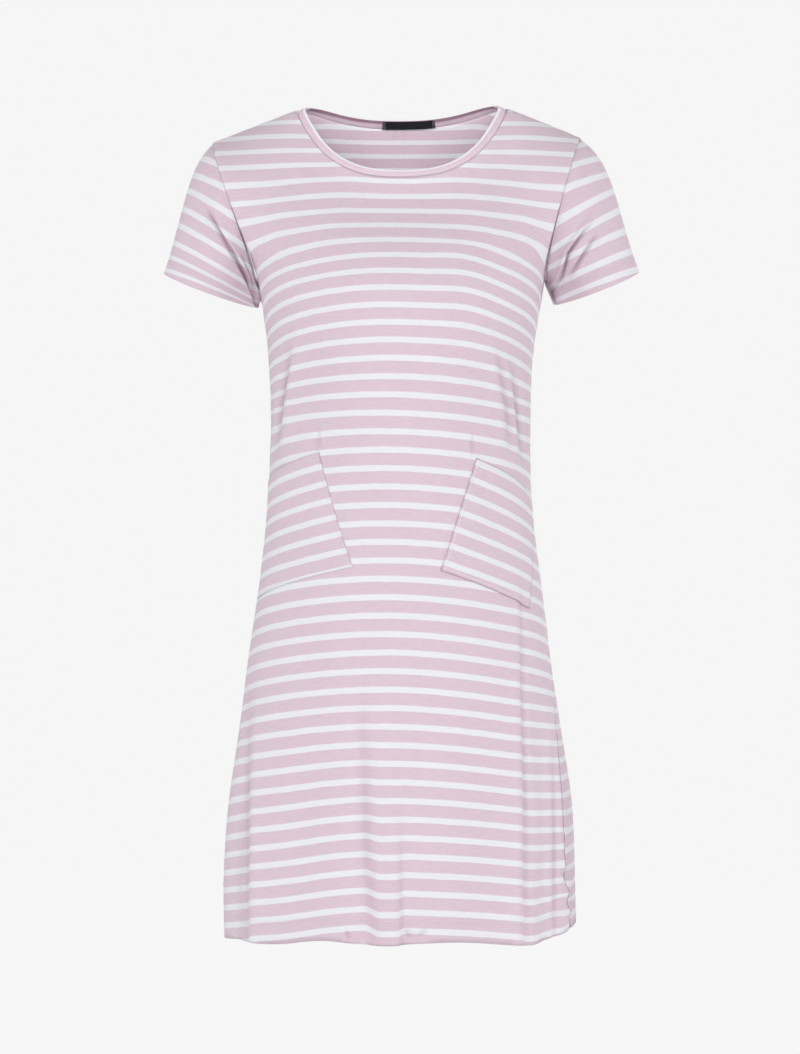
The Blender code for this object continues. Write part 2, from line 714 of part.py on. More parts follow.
def add_pocket(name, front, pocket):
    """A patch pocket, set at a slant, whose points are the panel's own, moved out."""
    corners = [(pocket.sign * corner.angle, corner.drop) for corner in pocket[1:]]
    rows, outs = [], []
    for r in range(POCKET_CELLS + 1):
        up = r / POCKET_CELLS
        row, out_row = [], []
        for c in range(POCKET_CELLS + 1):
            over = c / POCKET_CELLS
            foot = [lerp(a, b, over) for a, b in zip(corners[0], corners[1])]
            top = [lerp(a, b, over) for a, b in zip(corners[3], corners[2])]
            point, out = on_panel(front, lerp(foot[0], top[0], up), lerp(foot[1], top[1], up))
            row.append(point)
            out_row.append(out)
        rows.append(row)
        outs.append(out_row)
    piece = Cloth(rows, flip=pocket.sign < 0)
    piece.out = piece.own_out = outs
    return add_wall(name, piece, PINK, raised=POCKET_GAP + WALL)


# ---------------------------------------------------------------- the dress
def clear_scene():
    for obj in list(bpy.data.objects):
        bpy.data.objects.remove(obj, do_unlink=True)


def sew_dress():
    front_rows, back_rows = panel_rows("front"), panel_rows("back")
    sleeve_right = Cloth(sleeve_rows("right", front_rows, back_rows), tube=True)
    sleeve_left = Cloth(sleeve_rows("left", front_rows, back_rows), tube=True, flip=True)
    front = Cloth(front_rows)
    back = Cloth(back_rows, flip=True)
    share_outward((front, back), (sleeve_right, sleeve_left))

    top = BODY_ROWS + YOKE_ROWS
    for side, column in (("right", 0), ("left", COLUMNS)):
        places = [(row, column) for row in range(BODY_ROWS + 1)]
        join(front, places, back, places)
        shoulder = range(SHOULDER_COLUMNS + 1)
        if side == "left":
            shoulder = range(COLUMNS - SHOULDER_COLUMNS, COLUMNS + 1)
        places = [(top, c) for c in shoulder]
        join(front, places, back, places)
        sleeve = sleeve_right if side == "right" else sleeve_left
        armhole = [(row, column) for row in range(BODY_ROWS, top + 1)]
        round_front = [(0, i) for i in range(YOKE_ROWS + 1)]
        round_back = [(0, -i % (2 * YOKE_ROWS)) for i in range(YOKE_ROWS + 1)]
        join(front, armhole, sleeve, round_front)
        join(back, armhole, sleeve, round_back)

    loop = neck_loop(front, back)
    part_from_binding(front, loop)
    part_from_binding(back, loop)
    add_wall("front", front, PINK)
    add_wall("back", back, PINK)
    add_wall("sleeve_right", sleeve_right, PINK)
    add_wall("sleeve_left", sleeve_left, PINK)
    add_binding(loop)
    add_pocket("pocket_right", front, POCKETS["right"])
    add_pocket("pocket_left", front, POCKETS["left"])
    add_label(loop)


clear_scene()
sew_dress()
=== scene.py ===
# %% [markdown]
# # A striped jersey t-shirt dress
#
# The dress is shown filled out as if it is worn, but with nobody in it, so it is one thin hollow
# shell: a front and a back panel, two set-in sleeves, a narrow neck binding, two patch pockets and
# a woven label. The CAD frame gives each of those pieces its place and its large shape. This lesson
# turns each one into cloth: finer, with creases, seams, stitching and stripes that follow the knit.

import math
from collections import namedtuple

import bmesh
import bpy
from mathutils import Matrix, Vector, bvhtree, kdtree, noise


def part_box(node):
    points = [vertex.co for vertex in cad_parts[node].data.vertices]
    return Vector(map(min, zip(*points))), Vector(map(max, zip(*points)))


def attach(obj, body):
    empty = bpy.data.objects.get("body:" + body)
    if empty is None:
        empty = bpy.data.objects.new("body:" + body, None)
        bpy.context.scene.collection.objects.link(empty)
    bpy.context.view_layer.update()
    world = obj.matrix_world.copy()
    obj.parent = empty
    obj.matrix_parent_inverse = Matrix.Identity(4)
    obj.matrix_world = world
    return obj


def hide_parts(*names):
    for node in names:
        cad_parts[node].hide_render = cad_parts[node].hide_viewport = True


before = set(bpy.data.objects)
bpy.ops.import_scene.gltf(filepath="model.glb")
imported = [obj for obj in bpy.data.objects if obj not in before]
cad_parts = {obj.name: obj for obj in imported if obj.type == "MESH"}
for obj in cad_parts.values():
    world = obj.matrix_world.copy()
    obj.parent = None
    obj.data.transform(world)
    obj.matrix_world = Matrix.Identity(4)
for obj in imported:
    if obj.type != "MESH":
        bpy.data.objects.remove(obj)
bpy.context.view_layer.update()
print("nodes:", ", ".join(sorted(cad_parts)))


def deselect_all():
    """Operators act on everything that is selected, and the CAD nodes start selected."""
    if bpy.context.object and bpy.context.object.mode != "OBJECT":
        bpy.ops.object.mode_set(mode="OBJECT")
    bpy.ops.object.select_all(action="DESELECT")


def pick(obj):
    """Make one object the only selected one, and the active one."""
    deselect_all()
    obj.select_set(True)
    bpy.context.view_layer.objects.active = obj


deselect_all()

# %% [markdown]
# ## The camera
#
# A garment on a rail is pictured straight on, from far enough away that it keeps its proportions.
# A longer lens further back gives that look; a wide lens close by would swell the middle. The
# camera stands level with the middle of the dress, three metres in front of it, and its angle of
# view is set from the height that it has to take in there.

# %% Camera
CAMERA_DISTANCE = 3.0
CAMERA_PLACE = (-0.00105, -CAMERA_DISTANCE, -0.441)
PICTURE_HEIGHT = 1.1067     # metres of picture at the dress

bpy.ops.object.camera_add(location=CAMERA_PLACE, rotation=(math.pi / 2, 0, 0))
camera = bpy.context.object
camera.data.sensor_fit = "VERTICAL"
camera.data.angle = 2 * math.atan(0.5 * PICTURE_HEIGHT / CAMERA_DISTANCE)
bpy.context.scene.camera = camera
print(f"camera: {math.degrees(camera.data.angle):.1f} degrees from bottom to top")

# %% [markdown]
# ## Floor and backdrop
#
# A studio sweep is a sheet of pale paper that runs from the floor up the wall without a corner, so
# no horizon shows behind the dress. It could be a curve that is extruded, or a plane whose back edge
# is lifted. Here it is a wide round dish, so that it looks the same from every side: a cylinder that
# loses its lid, and whose corner at the floor is then bevelled.

# %% Floor and backdrop
FLOOR = -1.28
SWEEP_RADIUS = 9.0
SWEEP_HEIGHT = 9.0
SWEEP_CORNER = 3.0

bpy.ops.mesh.primitive_cylinder_add(vertices=96, radius=SWEEP_RADIUS, depth=SWEEP_HEIGHT,
                                    end_fill_type="NGON", location=(0, 0, FLOOR + SWEEP_HEIGHT / 2))
sweep = bpy.context.object
sweep.name = "studio_sweep"
bpy.ops.object.transform_apply(location=True, rotation=False, scale=False)
bpy.ops.object.mode_set(mode="EDIT")
bpy.ops.mesh.select_mode(type="EDGE")
bpy.ops.mesh.select_all(action="DESELECT")
shape = bmesh.from_edit_mesh(sweep.data)
lid = max(shape.faces, key=lambda face: face.calc_center_median().z)
bmesh.ops.delete(shape, geom=[lid], context="FACES_ONLY")
for edge in shape.edges:
    if all(vert.co.z < FLOOR + 0.001 for vert in edge.verts):
        edge.select = True
shape.select_flush(True)
bmesh.update_edit_mesh(sweep.data)
bpy.ops.mesh.bevel(offset=SWEEP_CORNER, segments=12)
bpy.ops.object.mode_set(mode="OBJECT")
bpy.ops.object.shade_smooth()
print("sweep:", len(sweep.data.polygons), "faces")

# %% Paper and light
SWEEP_GLOW = 0.915
SKY_LIGHT = 0.43


def new_material(name):
    """A material, its node tree and its shader."""
    material = bpy.data.materials.new(name)
    material.use_nodes = True
    return material, material.node_tree, material.node_tree.nodes["Principled BSDF"]


def set_inputs(node, values):
    """Give a node plain numbers and colours, by the names of its inputs."""
    for name, value in values.items():
        node.inputs[name].default_value = value


paper, tree, shader = new_material("studio_paper")
set_inputs(shader, {"Base Color": (0.01, 0.01, 0.01, 1), "Roughness": 1.0, "Specular IOR Level": 0.0,
                    "Emission Color": (1, 1, 1, 1), "Emission Strength": SWEEP_GLOW})
sweep.data.materials.append(paper)
sweep.visible_diffuse = False       # the dress is lit by the lamps and the sky, not by the paper

world = bpy.data.worlds.new("studio")
bpy.context.scene.world = world
world.use_nodes = True
set_inputs(world.node_tree.nodes["Background"], {"Color": (1, 1, 1, 1), "Strength": SKY_LIGHT})
bpy.context.scene.view_settings.view_transform = "Standard"

# name, place, size, power
SOFTBOXES = (
    ("softbox_low", (0.0, -3.2, -0.6), 1.3, 20),
    ("softbox_high", (0.0, -3.0, 0.4), 1.6, 16),
    ("softbox_right", (-3.0, -1.6, -0.5), 1.4, 33),
    ("softbox_left", (3.0, -1.6, -0.5), 1.4, 33),
    ("softbox_back", (0.6, 3.2, 0.6), 2.4, 60),
)
DRESS_MIDDLE = (0, 0, -0.45)
NECK_SPOT = (0.0, -1.2, 0.5)
INSIDE_NECK = (0, 0.05, -0.035)


def turned_to(place, aim):
    """The turn that points a lamp from its place to its aim."""
    return (Vector(aim) - Vector(place)).to_track_quat("-Z", "Y").to_euler()


for name, place, size, power in SOFTBOXES:
    bpy.ops.object.light_add(type="AREA", location=place, rotation=turned_to(place, DRESS_MIDDLE))
    lamp = bpy.context.object
    lamp.name = name
    lamp.data.size = size
    lamp.data.energy = power

# A narrow spot reaches the inside of the back through the neckline.
bpy.ops.object.light_add(type="SPOT", location=NECK_SPOT, rotation=turned_to(NECK_SPOT, INSIDE_NECK))
spot = bpy.context.object
spot.name = "neck_spot"
spot.data.energy = 32
spot.data.spot_size = math.radians(9.5)
spot.data.spot_blend = 0.6
spot.data.shadow_soft_size = 0.08
print("lamps:", len(SOFTBOXES) + 1)

# %% [markdown]
# ## The list of creases
#
# A worn jersey takes short pinches where a pocket corner pulls, long soft lines down the skirt, and
# drag lines from the underarm into the sleeve. They are listed before the cloth is made, because
# the cloth needs more points where a crease will go. Each is a line on the front view, x and z in
# metres, with how deep and how wide it is, the side of it on which the cloth stands up, and for a
# few how dark the painted shade in it is, where that says more than the depth.

# %% Creases
Crease = namedtuple("Crease", "path depth width ridge shade", defaults=(None,))

FRONT_CREASES = (
    Crease(((-0.113, -0.252), (-0.1253, -0.320), (-0.1300, -0.362)), 0.0036, 0.0042, -1),
    Crease(((0.098, -0.255), (0.1085, -0.320), (0.1126, -0.370)), 0.0028, 0.0042, 1),
    Crease(((0.115, -0.272), (0.1215, -0.325), (0.1261, -0.375)), 0.0036, 0.0042, 1),
    Crease(((-0.0836, -0.338), (-0.0831, -0.366)), 0.0020, 0.0019, 0),
    Crease(((0.0719, -0.344), (0.0717, -0.372)), 0.0020, 0.0019, 0),
    Crease(((-0.1590, -0.600), (-0.1585, -0.760), (-0.1588, -0.930)), 0.0026, 0.0052, -1),
    Crease(((-0.0410, -0.600), (-0.0340, -0.760), (-0.0240, -0.920)), 0.0030, 0.0085, -1, 0.20),
    Crease(((-0.0010, -0.720), (0.0000, -0.800), (0.0010, -0.930)), 0.0016, 0.0038, 1),
    Crease(((0.1235, -0.480), (0.1255, -0.617), (0.1262, -0.717), (0.1262, -0.920)),
           0.0032, 0.0040, 1, 0.25),
    Crease(((0.1570, -0.655), (0.1570, -0.740), (0.1570, -0.900)), 0.0022, 0.0034, 1, 0.30),
    Crease(((0.0020, -0.8440), (0.0120, -0.8530)), 0.0034, 0.0030, 1),
    Crease(((0.0150, -0.8520), (0.0270, -0.8440)), 0.0026, 0.0028, -1),
    Crease(((-0.0570, -0.8440), (-0.0500, -0.8540)), 0.0026, 0.0028, 1),
)
BACK_CREASES = (
    Crease(((-0.060, -0.200), (-0.075, -0.330), (-0.078, -0.440)), 0.0030, 0.0120, 0),
    Crease(((0.070, -0.230), (0.072, -0.330), (0.066, -0.430)), 0.0026, 0.0120, 0),
    Crease(((-0.020, -0.560), (-0.026, -0.700), (-0.030, -0.880)), 0.0030, 0.0130, 0),
    Crease(((0.085, -0.520), (0.094, -0.700), (0.100, -0.880)), 0.0034, 0.0110, 0),
    Crease(((-0.105, -0.540), (-0.116, -0.700), (-0.122, -0.880)), 0.0034, 0.0110, 0),
)
RIGHT_SLEEVE_CREASES = (
    Crease(((-0.201, -0.108), (-0.1962, -0.120), (-0.181, -0.1475), (-0.1700, -0.166)),
           0.0036, 0.0018, 1, 0.6),
    Crease(((-0.180, -0.147), (-0.172, -0.161), (-0.1628, -0.1778), (-0.1552, -0.196),
            (-0.1491, -0.2113), (-0.145, -0.226)), 0.0055, 0.0018, -1, 0.95),
    Crease(((-0.1660, -0.156), (-0.1580, -0.178), (-0.1510, -0.205)), 0.0034, 0.0016, 1, 0.6),
)
LEFT_SLEEVE_CREASES = (
    Crease(((0.199, -0.122), (0.1726, -0.1583), (0.1700, -0.1687), (0.1663, -0.1832),
            (0.155, -0.196)), 0.0048, 0.0018, 1, 0.8),
    Crease(((0.203, -0.136), (0.184, -0.1666), (0.173, -0.183)), 0.0034, 0.0018, -1, 0.5),
    Crease(((0.1530, -0.176), (0.1560, -0.200), (0.1600, -0.240)), 0.0030, 0.0060, 0, 1.0),
)
print("creases:", len(FRONT_CREASES), "in the front,", len(BACK_CREASES), "in the back")

# %% How far a point is from a crease
def along_path(path, x, z):
    """How far a point lies from a line on the front view, on which side, and how far along."""
    best = (1e9, 1, 0)
    total = sum(math.dist(a, b) for a, b in zip(path, path[1:]))
    walked = 0.0
    for a, b in zip(path, path[1:]):
        length = math.dist(a, b)
        dx, dz = (b[0] - a[0]) / length, (b[1] - a[1]) / length
        reach = min(max((x - a[0]) * dx + (z - a[1]) * dz, 0), length)
        px, pz = a[0] + dx * reach, a[1] + dz * reach
        away = math.hypot(x - px, z - pz)
        if away < best[0]:
            side = 1 if (x - a[0]) * dz - (z - a[1]) * dx > 0 else -1
            best = (away, side, (walked + reach) / total)
        walked += length
    return best

# %% [markdown]
# ## From a CAD wall to a sheet of cloth
#
# Each CAD panel is a wall with an outer face, an inner face and narrow cut edges between them.
# Cloth is easier to shape as one sheet that gets its thickness last. The panel could be modelled
# again from scratch, but then it would drift from the frame, so its outer face is taken as it is:
# the copy's loose triangles are merged, the cut edges and the inner face go, pairs of triangles
# become squares again, and a subdivision surface makes the squares small and smooth. Corners that
# neighbours share are creased, so that both sides of a seam still run together.

# %% Copies of CAD nodes
MERGE = 0.00002             # points closer than this are one


def merged_copy(node, name):
    """A new object with a CAD node's mesh, its loose triangles merged. It is left in edit mode."""
    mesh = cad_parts[node].data.copy()
    mesh.materials.clear()
    obj = bpy.data.objects.new(name, mesh)
    bpy.context.scene.collection.objects.link(obj)
    pick(obj)
    bpy.ops.object.mode_set(mode="EDIT")
    bpy.ops.mesh.select_all(action="SELECT")
    bpy.ops.mesh.remove_doubles(threshold=MERGE)
    return obj


def make_squares(pairing):
    """Join the pairs of triangles of the mesh in edit mode, and leave edit mode."""
    bpy.ops.mesh.select_all(action="SELECT")
    bpy.ops.mesh.tris_convert_to_quads(face_threshold=math.pi, shape_threshold=math.pi,
                                       topology_influence=pairing)
    bpy.ops.object.mode_set(mode="OBJECT")

# %% Outer faces
CUT_EDGE = 0.0026           # shorter edges than this cross the wall


def loose_parts(shape):
    """The separate islands of a mesh, as lists of faces."""
    left, parts = set(shape.faces), []
    while left:
        stack, part = [left.pop()], []
        while stack:
            face = stack.pop()
            part.append(face)
            for edge in face.edges:
                for other in edge.link_faces:
                    if other in left:
                        left.remove(other)
                        stack.append(other)
        parts.append(part)
    return parts


def faces_away(part, middle_of):
    """How much a part's faces look away from the middle, in square metres times metres."""
    return sum(f.calc_area() * f.normal.dot(f.calc_center_median() - middle_of(f)) for f in part)


def outer_face(node, name, round_body=True, pairing=1.5):
    """A new object with the outer face of a CAD wall, in squares."""
    obj = merged_copy(node, name)
    shape = bmesh.from_edit_mesh(obj.data)
    cut_edges = [f for f in shape.faces if min(e.calc_length() for e in f.edges) < CUT_EDGE]
    bmesh.ops.delete(shape, geom=cut_edges, context="FACES")
    centre = sum((v.co for v in shape.verts), Vector()) / len(shape.verts)

    def middle_of(face):
        return Vector((0, 0, face.calc_center_median().z)) if round_body else centre

    parts = sorted(loose_parts(shape), key=lambda part: faces_away(part, middle_of))
    bmesh.ops.delete(shape, geom=[f for part in parts[:-1] for f in part], context="FACES")
    bmesh.update_edit_mesh(obj.data)
    make_squares(pairing)
    print(f"{name}: {len(parts)} parts, {len(obj.data.polygons)} faces,",
          sum(len(p.vertices) == 3 for p in obj.data.polygons), "triangles left")
    return obj

# %% Finer faces
CORNER_TURN = math.radians(45)
SAME_CORNER = 0.001
FINER_REACH = 0.008         # how far from a crease the faces are cut finer, at the least
FINER_WIDTHS = 2.4          # and in widths of the crease


def near(points):
    """A tree that finds the nearest of some points."""
    tree = kdtree.KDTree(len(points))
    for i, point in enumerate(points):
        tree.insert(point, i)
    tree.balance()
    return tree


def border_turns(shape):
    """Each vertex of the open border, with how far the border turns there."""
    turns = []
    for vert in shape.verts:
        edges = [e for e in vert.link_edges if e.is_boundary]
        if len(edges) == 2:
            a, b = (e.other_vert(vert).co - vert.co for e in edges)
            turns.append((vert, math.pi - a.angle(b)))
    return turns


def subdivide_smooth(obj, levels):
    """Make an object's faces small and round."""
    pick(obj)
    smooth = obj.modifiers.new("fine", "SUBSURF")
    smooth.levels = smooth.render_levels = levels
    smooth.boundary_smooth = "PRESERVE_CORNERS"
    bpy.ops.object.modifier_apply(modifier=smooth.name)
    bpy.ops.object.shade_smooth()


def refine(obj, levels, shared_corners=()):
    """Crease the corners and subdivide, and give the corners' places."""
    shape = bmesh.new()
    shape.from_mesh(obj.data)
    crease = shape.verts.layers.float.new("crease_vert")
    shared = near(shared_corners) if shared_corners else None
    corners = []
    for vert, turn in border_turns(shape):
        if turn > CORNER_TURN or (shared and shared.find(vert.co)[2] < SAME_CORNER):
            vert[crease] = 1.0
            corners.append(vert.co.copy())
    shape.to_mesh(obj.data)
    shape.free()
    subdivide_smooth(obj, levels)
    print(f"{obj.name}: {len(corners)} corners, {len(obj.data.polygons)} fine faces")
    return corners


def finer_beside(obj, creases):
    """Cut the faces beside the creases in four."""
    pick(obj)
    bpy.ops.object.mode_set(mode="EDIT")
    bpy.ops.mesh.select_all(action="DESELECT")
    shape = bmesh.from_edit_mesh(obj.data)
    for face in shape.faces:
        at = face.calc_center_median()
        if any(along_path(c.path, at.x, at.z)[0] < max(FINER_REACH, FINER_WIDTHS * c.width)
               for c in creases):
            face.select = True
    shape.select_flush(True)
    bmesh.update_edit_mesh(obj.data)
    bpy.ops.mesh.subdivide(number_cuts=1, smoothness=0, ngon=False)
    bpy.ops.object.mode_set(mode="OBJECT")
    print(f"{obj.name}: {len(obj.data.polygons)} faces, finer beside its creases")

# %% The panels, sleeves and pockets
front = outer_face("front", "front_panel")
back = outer_face("back", "back_panel")
sleeve_right = outer_face("sleeve_right", "right_sleeve", round_body=False, pairing=1.1)
sleeve_left = outer_face("sleeve_left", "left_sleeve", round_body=False, pairing=1.1)
pocket_right = outer_face("pocket_right", "right_pocket")
pocket_left = outer_face("pocket_left", "left_pocket")

panel_corners = refine(front, 2)
refine(back, 2, panel_corners)
refine(sleeve_right, 3, panel_corners)
refine(sleeve_left, 3, panel_corners)
pocket_corners = {"right": refine(pocket_right, 3), "left": refine(pocket_left, 3)}
finer_beside(front, FRONT_CREASES)
finer_beside(sleeve_right, RIGHT_SLEEVE_CREASES)
finer_beside(sleeve_left, LEFT_SLEEVE_CREASES)
print("faces in all:", sum(len(obj.data.polygons) for obj in (front, back, sleeve_right, sleeve_left)))

# %% [markdown]
# ## Where the stripes run
#
# The stripes are knitted in, at one distance along the cloth, so they show how each piece hangs. A
# pattern across the whole object, level with the floor, would cut through the drape and look
# painted. So each point of the cloth gets a number: how many stripes lie above it, counted down the
# centre front along the cloth itself. Towards the sides the stripes drop, most of all below the
# underarm, where the cloth is drawn up over the chest. The number and the place across the cloth
# are kept on the mesh as one attribute, which the materials read, so a crease that is pressed into
# the mesh later carries its stripes with it.

# %% How the stripes are drawn off level
STRIPE_EVERY = 0.01854      # cloth from the middle of one white stripe to the next
FIRST_STRIPE = -0.0872      # height of the first whole stripe under the neckline
FRONT_HEM = -0.862          # height of the hem at the centre front
YOKE_STEP = 0.0171          # height from stripe to stripe above it, where the cloth leans back

# All of these tables start with a drop under the shoulders. Then comes, in metres, how far the
# stripes bow down at the side, and how far they lean down to the wearer's left.
BOW = ((0.070, 0.000, 0.001), (0.104, 0.009, 0.0012), (0.151, 0.029, 0.0020),
       (0.175, 0.0375, 0.0033), (0.200, 0.0385, 0.0040), (0.236, 0.0360, 0.0034),
       (0.272, 0.0290, 0.0027), (0.3085, 0.0235, 0.0043), (0.328, 0.0195, 0.0045),
       (0.345, 0.0225, 0.004), (0.400, 0.027, 0.004), (0.600, 0.034, 0.004),
       (0.715, 0.0345, 0.002), (0.770, 0.033, 0.000), (0.860, 0.031, 0.000))
# How far the knit is stretched downwards over the bust, and how far the stripes rise between the
# neckline and the armhole, beside the armhole, over the bust on the wearer's left, past the fold at
# the wearer's left hip, and on the way to the soft fold near the middle of the skirt.
STRETCH = ((0.087, 0.0), (0.112, 0.0036), (0.140, 0.0046), (0.200, 0.0032), (0.265, 0.0))
YOKE_RISE = ((0.075, 0.0030), (0.140, 0.0030), (0.170, 0.0))
SHOULDER_RISE = ((0.095, 0.0), (0.120, 0.0038), (0.150, 0.0038), (0.168, 0.0))
BUST_RISE = ((0.145, 0.0), (0.168, 0.0042), (0.200, 0.0042), (0.260, 0.0010), (0.290, 0.0))
HIP_RISE = ((0.560, 0.0), (0.680, 0.0085), (0.780, 0.0105), (0.850, 0.024))
FOLD_RISE = ((0.600, 0.0), (0.700, 0.0020), (0.820, 0.0044))
# How far they step down past that soft fold, past the folds near both sides, and at the puckered
# side seam.
FOLD_STEP = ((0.700, 0.0), (0.780, 0.0012), (0.850, 0.0022))
RIGHT_STEP = ((0.660, 0.0), (0.740, 0.0024), (0.850, 0.0026))
LEFT_STEP = ((0.560, 0.0), (0.640, 0.0018), (0.850, 0.0018))
SEAM_STEP = ((0.720, 0.0), (0.800, 0.0055), (0.850, 0.0065))
WAIST_STEP = 0.0018         # at each crease of the waist, which hides that much cloth
WAIST_CREASES = FRONT_CREASES[:3]
STRIPE_PUCKER = 0.006       # at the puckered side seam, up and down

# %% Smooth curves
def between(table, at, column=1):
    """Read a short table as one smooth curve that doesn't overshoot its lines."""
    if at <= table[0][0]:
        return table[0][column]
    if at >= table[-1][0]:
        return table[-1][column]

    def slope(i):
        if not 0 < i < len(table) - 1:
            return 0.0
        rises = [(table[k + 1][column] - table[k][column]) / (table[k + 1][0] - table[k][0])
                 for k in (i - 1, i)]
        if rises[0] * rises[1] <= 0:
            return 0.0
        return 2 * rises[0] * rises[1] / (rises[0] + rises[1])

    i = next(k for k in range(len(table) - 1) if at <= table[k + 1][0])
    wide = table[i + 1][0] - table[i][0]
    t = (at - table[i][0]) / wide
    return ((2 * t ** 3 - 3 * t * t + 1) * table[i][column] + (t ** 3 - 2 * t * t + t) * wide * slope(i)
            + (3 * t * t - 2 * t ** 3) * table[i + 1][column] + (t ** 3 - t * t) * wide * slope(i + 1))


def hill(at, middle, width):
    """A smooth bump, 1 at its middle."""
    return math.exp(-((at - middle) / width) ** 2)


def rising(at, start, end):
    """0 before the start, 1 past the end, smooth between."""
    share = min(max((at - start) / (end - start), 0.0), 1.0)
    return share * share * (3 - 2 * share)

# %% Cloth down the middle
BACK_TOP = -0.016           # heights between which the back's cloth is measured
BACK_HEM = -0.855


def cloth_line(obj, side, top, bottom, steps=160):
    """Heights down the middle of a panel, each with the length of cloth above it."""
    obj_tree = bvhtree.BVHTree.FromPolygons([v.co for v in obj.data.vertices],
                                            [p.vertices[:] for p in obj.data.polygons])
    line, length, last = [], 0.0, None
    for i in range(steps + 1):
        z = top + (bottom - top) * i / steps
        hit = obj_tree.ray_cast(Vector((0, side, z)), Vector((0, -side, 0)))[0]
        if hit is None:
            continue
        if last is not None:
            length += (hit - last).length
        line.append((-z, length))
        last = hit
    return line


def straight(line, at):
    """Read a line of pairs, going on in the same direction past its ends."""
    pairs = zip(line, line[1:])
    for low, high in pairs:
        if at <= high[0]:
            break
    return low[1] + (high[1] - low[1]) * (at - low[0]) / (high[0] - low[0])


down_front = cloth_line(front, -1, FIRST_STRIPE, FRONT_HEM)
down_back = cloth_line(back, 1, BACK_TOP, BACK_HEM)
print(f"cloth: {down_front[-1][1]:.3f} m down the front under the first stripe,",
      f"{down_back[-1][1]:.3f} m down the back")

# %% Counting stripes down the front
def count_at(z):
    """Stripes above a height on the centre front."""
    if z > FIRST_STRIPE:
        return 1 - (z - FIRST_STRIPE) / YOKE_STEP
    return 1 + (straight(down_front, -z) - between(STRETCH, -z)) / STRIPE_EVERY


def past_crease(crease, x, z):
    """1 on the side of a crease towards the dress's side, 0 on the other, fading at its ends."""
    away, side, share = along_path(crease.path, x, z)
    if not 0 < share < 1:
        return 0.0
    outward = away * (-side if crease.path[0][0] > 0 else side)
    return rising(outward, -0.002, 0.002) * math.sin(math.pi * share) ** 0.5


def side_steps(point, drop):
    """How far the stripes are shifted down past the folds near both sides."""
    return (between(RIGHT_STEP, drop) * rising(-point.x, 0.1525, 0.1580)
            + between(LEFT_STEP, drop) * rising(point.x, 0.1215, 0.1260))


def pucker(degrees, drop):
    """How far the puckers of the left side seam shift the stripes."""
    share = (hill(degrees, 68, 7) * rising(drop, 0.730, 0.800)
             + hill(degrees, 78, 5) * rising(drop, 0.800, 0.840))
    return STRIPE_PUCKER * share * noise.noise(Vector((degrees / 9, 0, drop * 120)))


def front_sink(point):
    """How far below the height at the centre a stripe lies, in metres."""
    turn = math.atan2(point.x, -point.y)
    degrees, drop = math.degrees(turn), -point.z
    sink = between(BOW, drop) * (1 - math.cos(turn)) + between(BOW, drop, 2) * math.sin(turn)
    sink -= between(YOKE_RISE, drop) * hill(abs(degrees), 40, 19)
    sink -= between(HIP_RISE, drop) * rising(degrees, 45, 86)
    sink -= between(FOLD_RISE, drop) * rising(degrees, -50, -20) * (1 - rising(degrees, -16, -8))
    sink += between(FOLD_STEP, drop) * rising(degrees, -15, -9) * (1 - rising(degrees, -1.5, 1.5))
    sink -= between(SHOULDER_RISE, drop) * rising(abs(degrees), 42, 64)
    sink -= between(BUST_RISE, drop) * hill(degrees, 28, 13)
    sink += (WAIST_STEP * sum(past_crease(c, point.x, point.z) for c in WAIST_CREASES)
             * (1 - rising(abs(degrees), 72, 88)))
    return sink + side_steps(point, drop)


def front_count(point):
    degrees = math.degrees(math.atan2(point.x, -point.y))
    return count_at(point.z + front_sink(point) + pucker(degrees, -point.z))


print("stripes down the front:", round(count_at(FRONT_HEM), 1))

# %% Counting stripes down the back
# The back's stripes are counted along its own cloth. They meet the front's at the side seams, bow up
# from there to the middle, and lie level across the shoulders, where the back leans forward.
UNDERARM = 0.205            # drop of the top of the side seams
SEAM_FOOT = 0.845           # and of the lowest point that is read of them
BACK_RISE = 0.9             # stripes that the middle of the back is ahead of the side seams
HIPS = (0.15, -0.45)        # where it is that much ahead: half the width of the dress, and height
BACK_TOP_STRIPE = 0.0143    # drop of a stripe's middle just under the back neckline
BACK_LEAN = ((0.010, 0.0), (0.045, 0.0075), (0.080, 0.0137))    # how far the back leans, by drop


def side_line(sign):
    """Where one side seam runs: pairs of a drop and the seam's degrees from the middle of the front."""
    shape = bmesh.new()
    shape.from_mesh(front.data)
    places = [v.co.copy() for v in shape.verts if v.is_boundary and -SEAM_FOOT < v.co.z < -UNDERARM
              and sign * v.co.x > 0.08]
    shape.free()
    return sorted((-co.z, math.degrees(math.atan2(abs(co.x), -co.y))) for co in places)


side_lines = {1: side_line(1), -1: side_line(-1)}


def back_middle_count(z):
    return (straight(down_back, -z) + between(BACK_LEAN, -z)) / STRIPE_EVERY


def seam_count(sign, radius, z):
    """The front's count at the side seam, and the seam's degrees. Above the seam it goes on evenly."""
    low = min(z, -UNDERARM)
    degrees = straight(side_lines[sign], -low)
    turn = math.radians(degrees)
    place = Vector((sign * math.sin(turn) * radius, -math.cos(turn) * radius, low))
    return count_at(low + front_sink(place)) + back_middle_count(z) - back_middle_count(low), degrees


# The middle of the back is ahead of the side seams, and has a whole stripe under the neckline.
back_shift = seam_count(1, *HIPS)[0] + BACK_RISE - back_middle_count(HIPS[1])
top_count = back_middle_count(-BACK_TOP_STRIPE)
back_shift = round(back_shift + top_count) - top_count


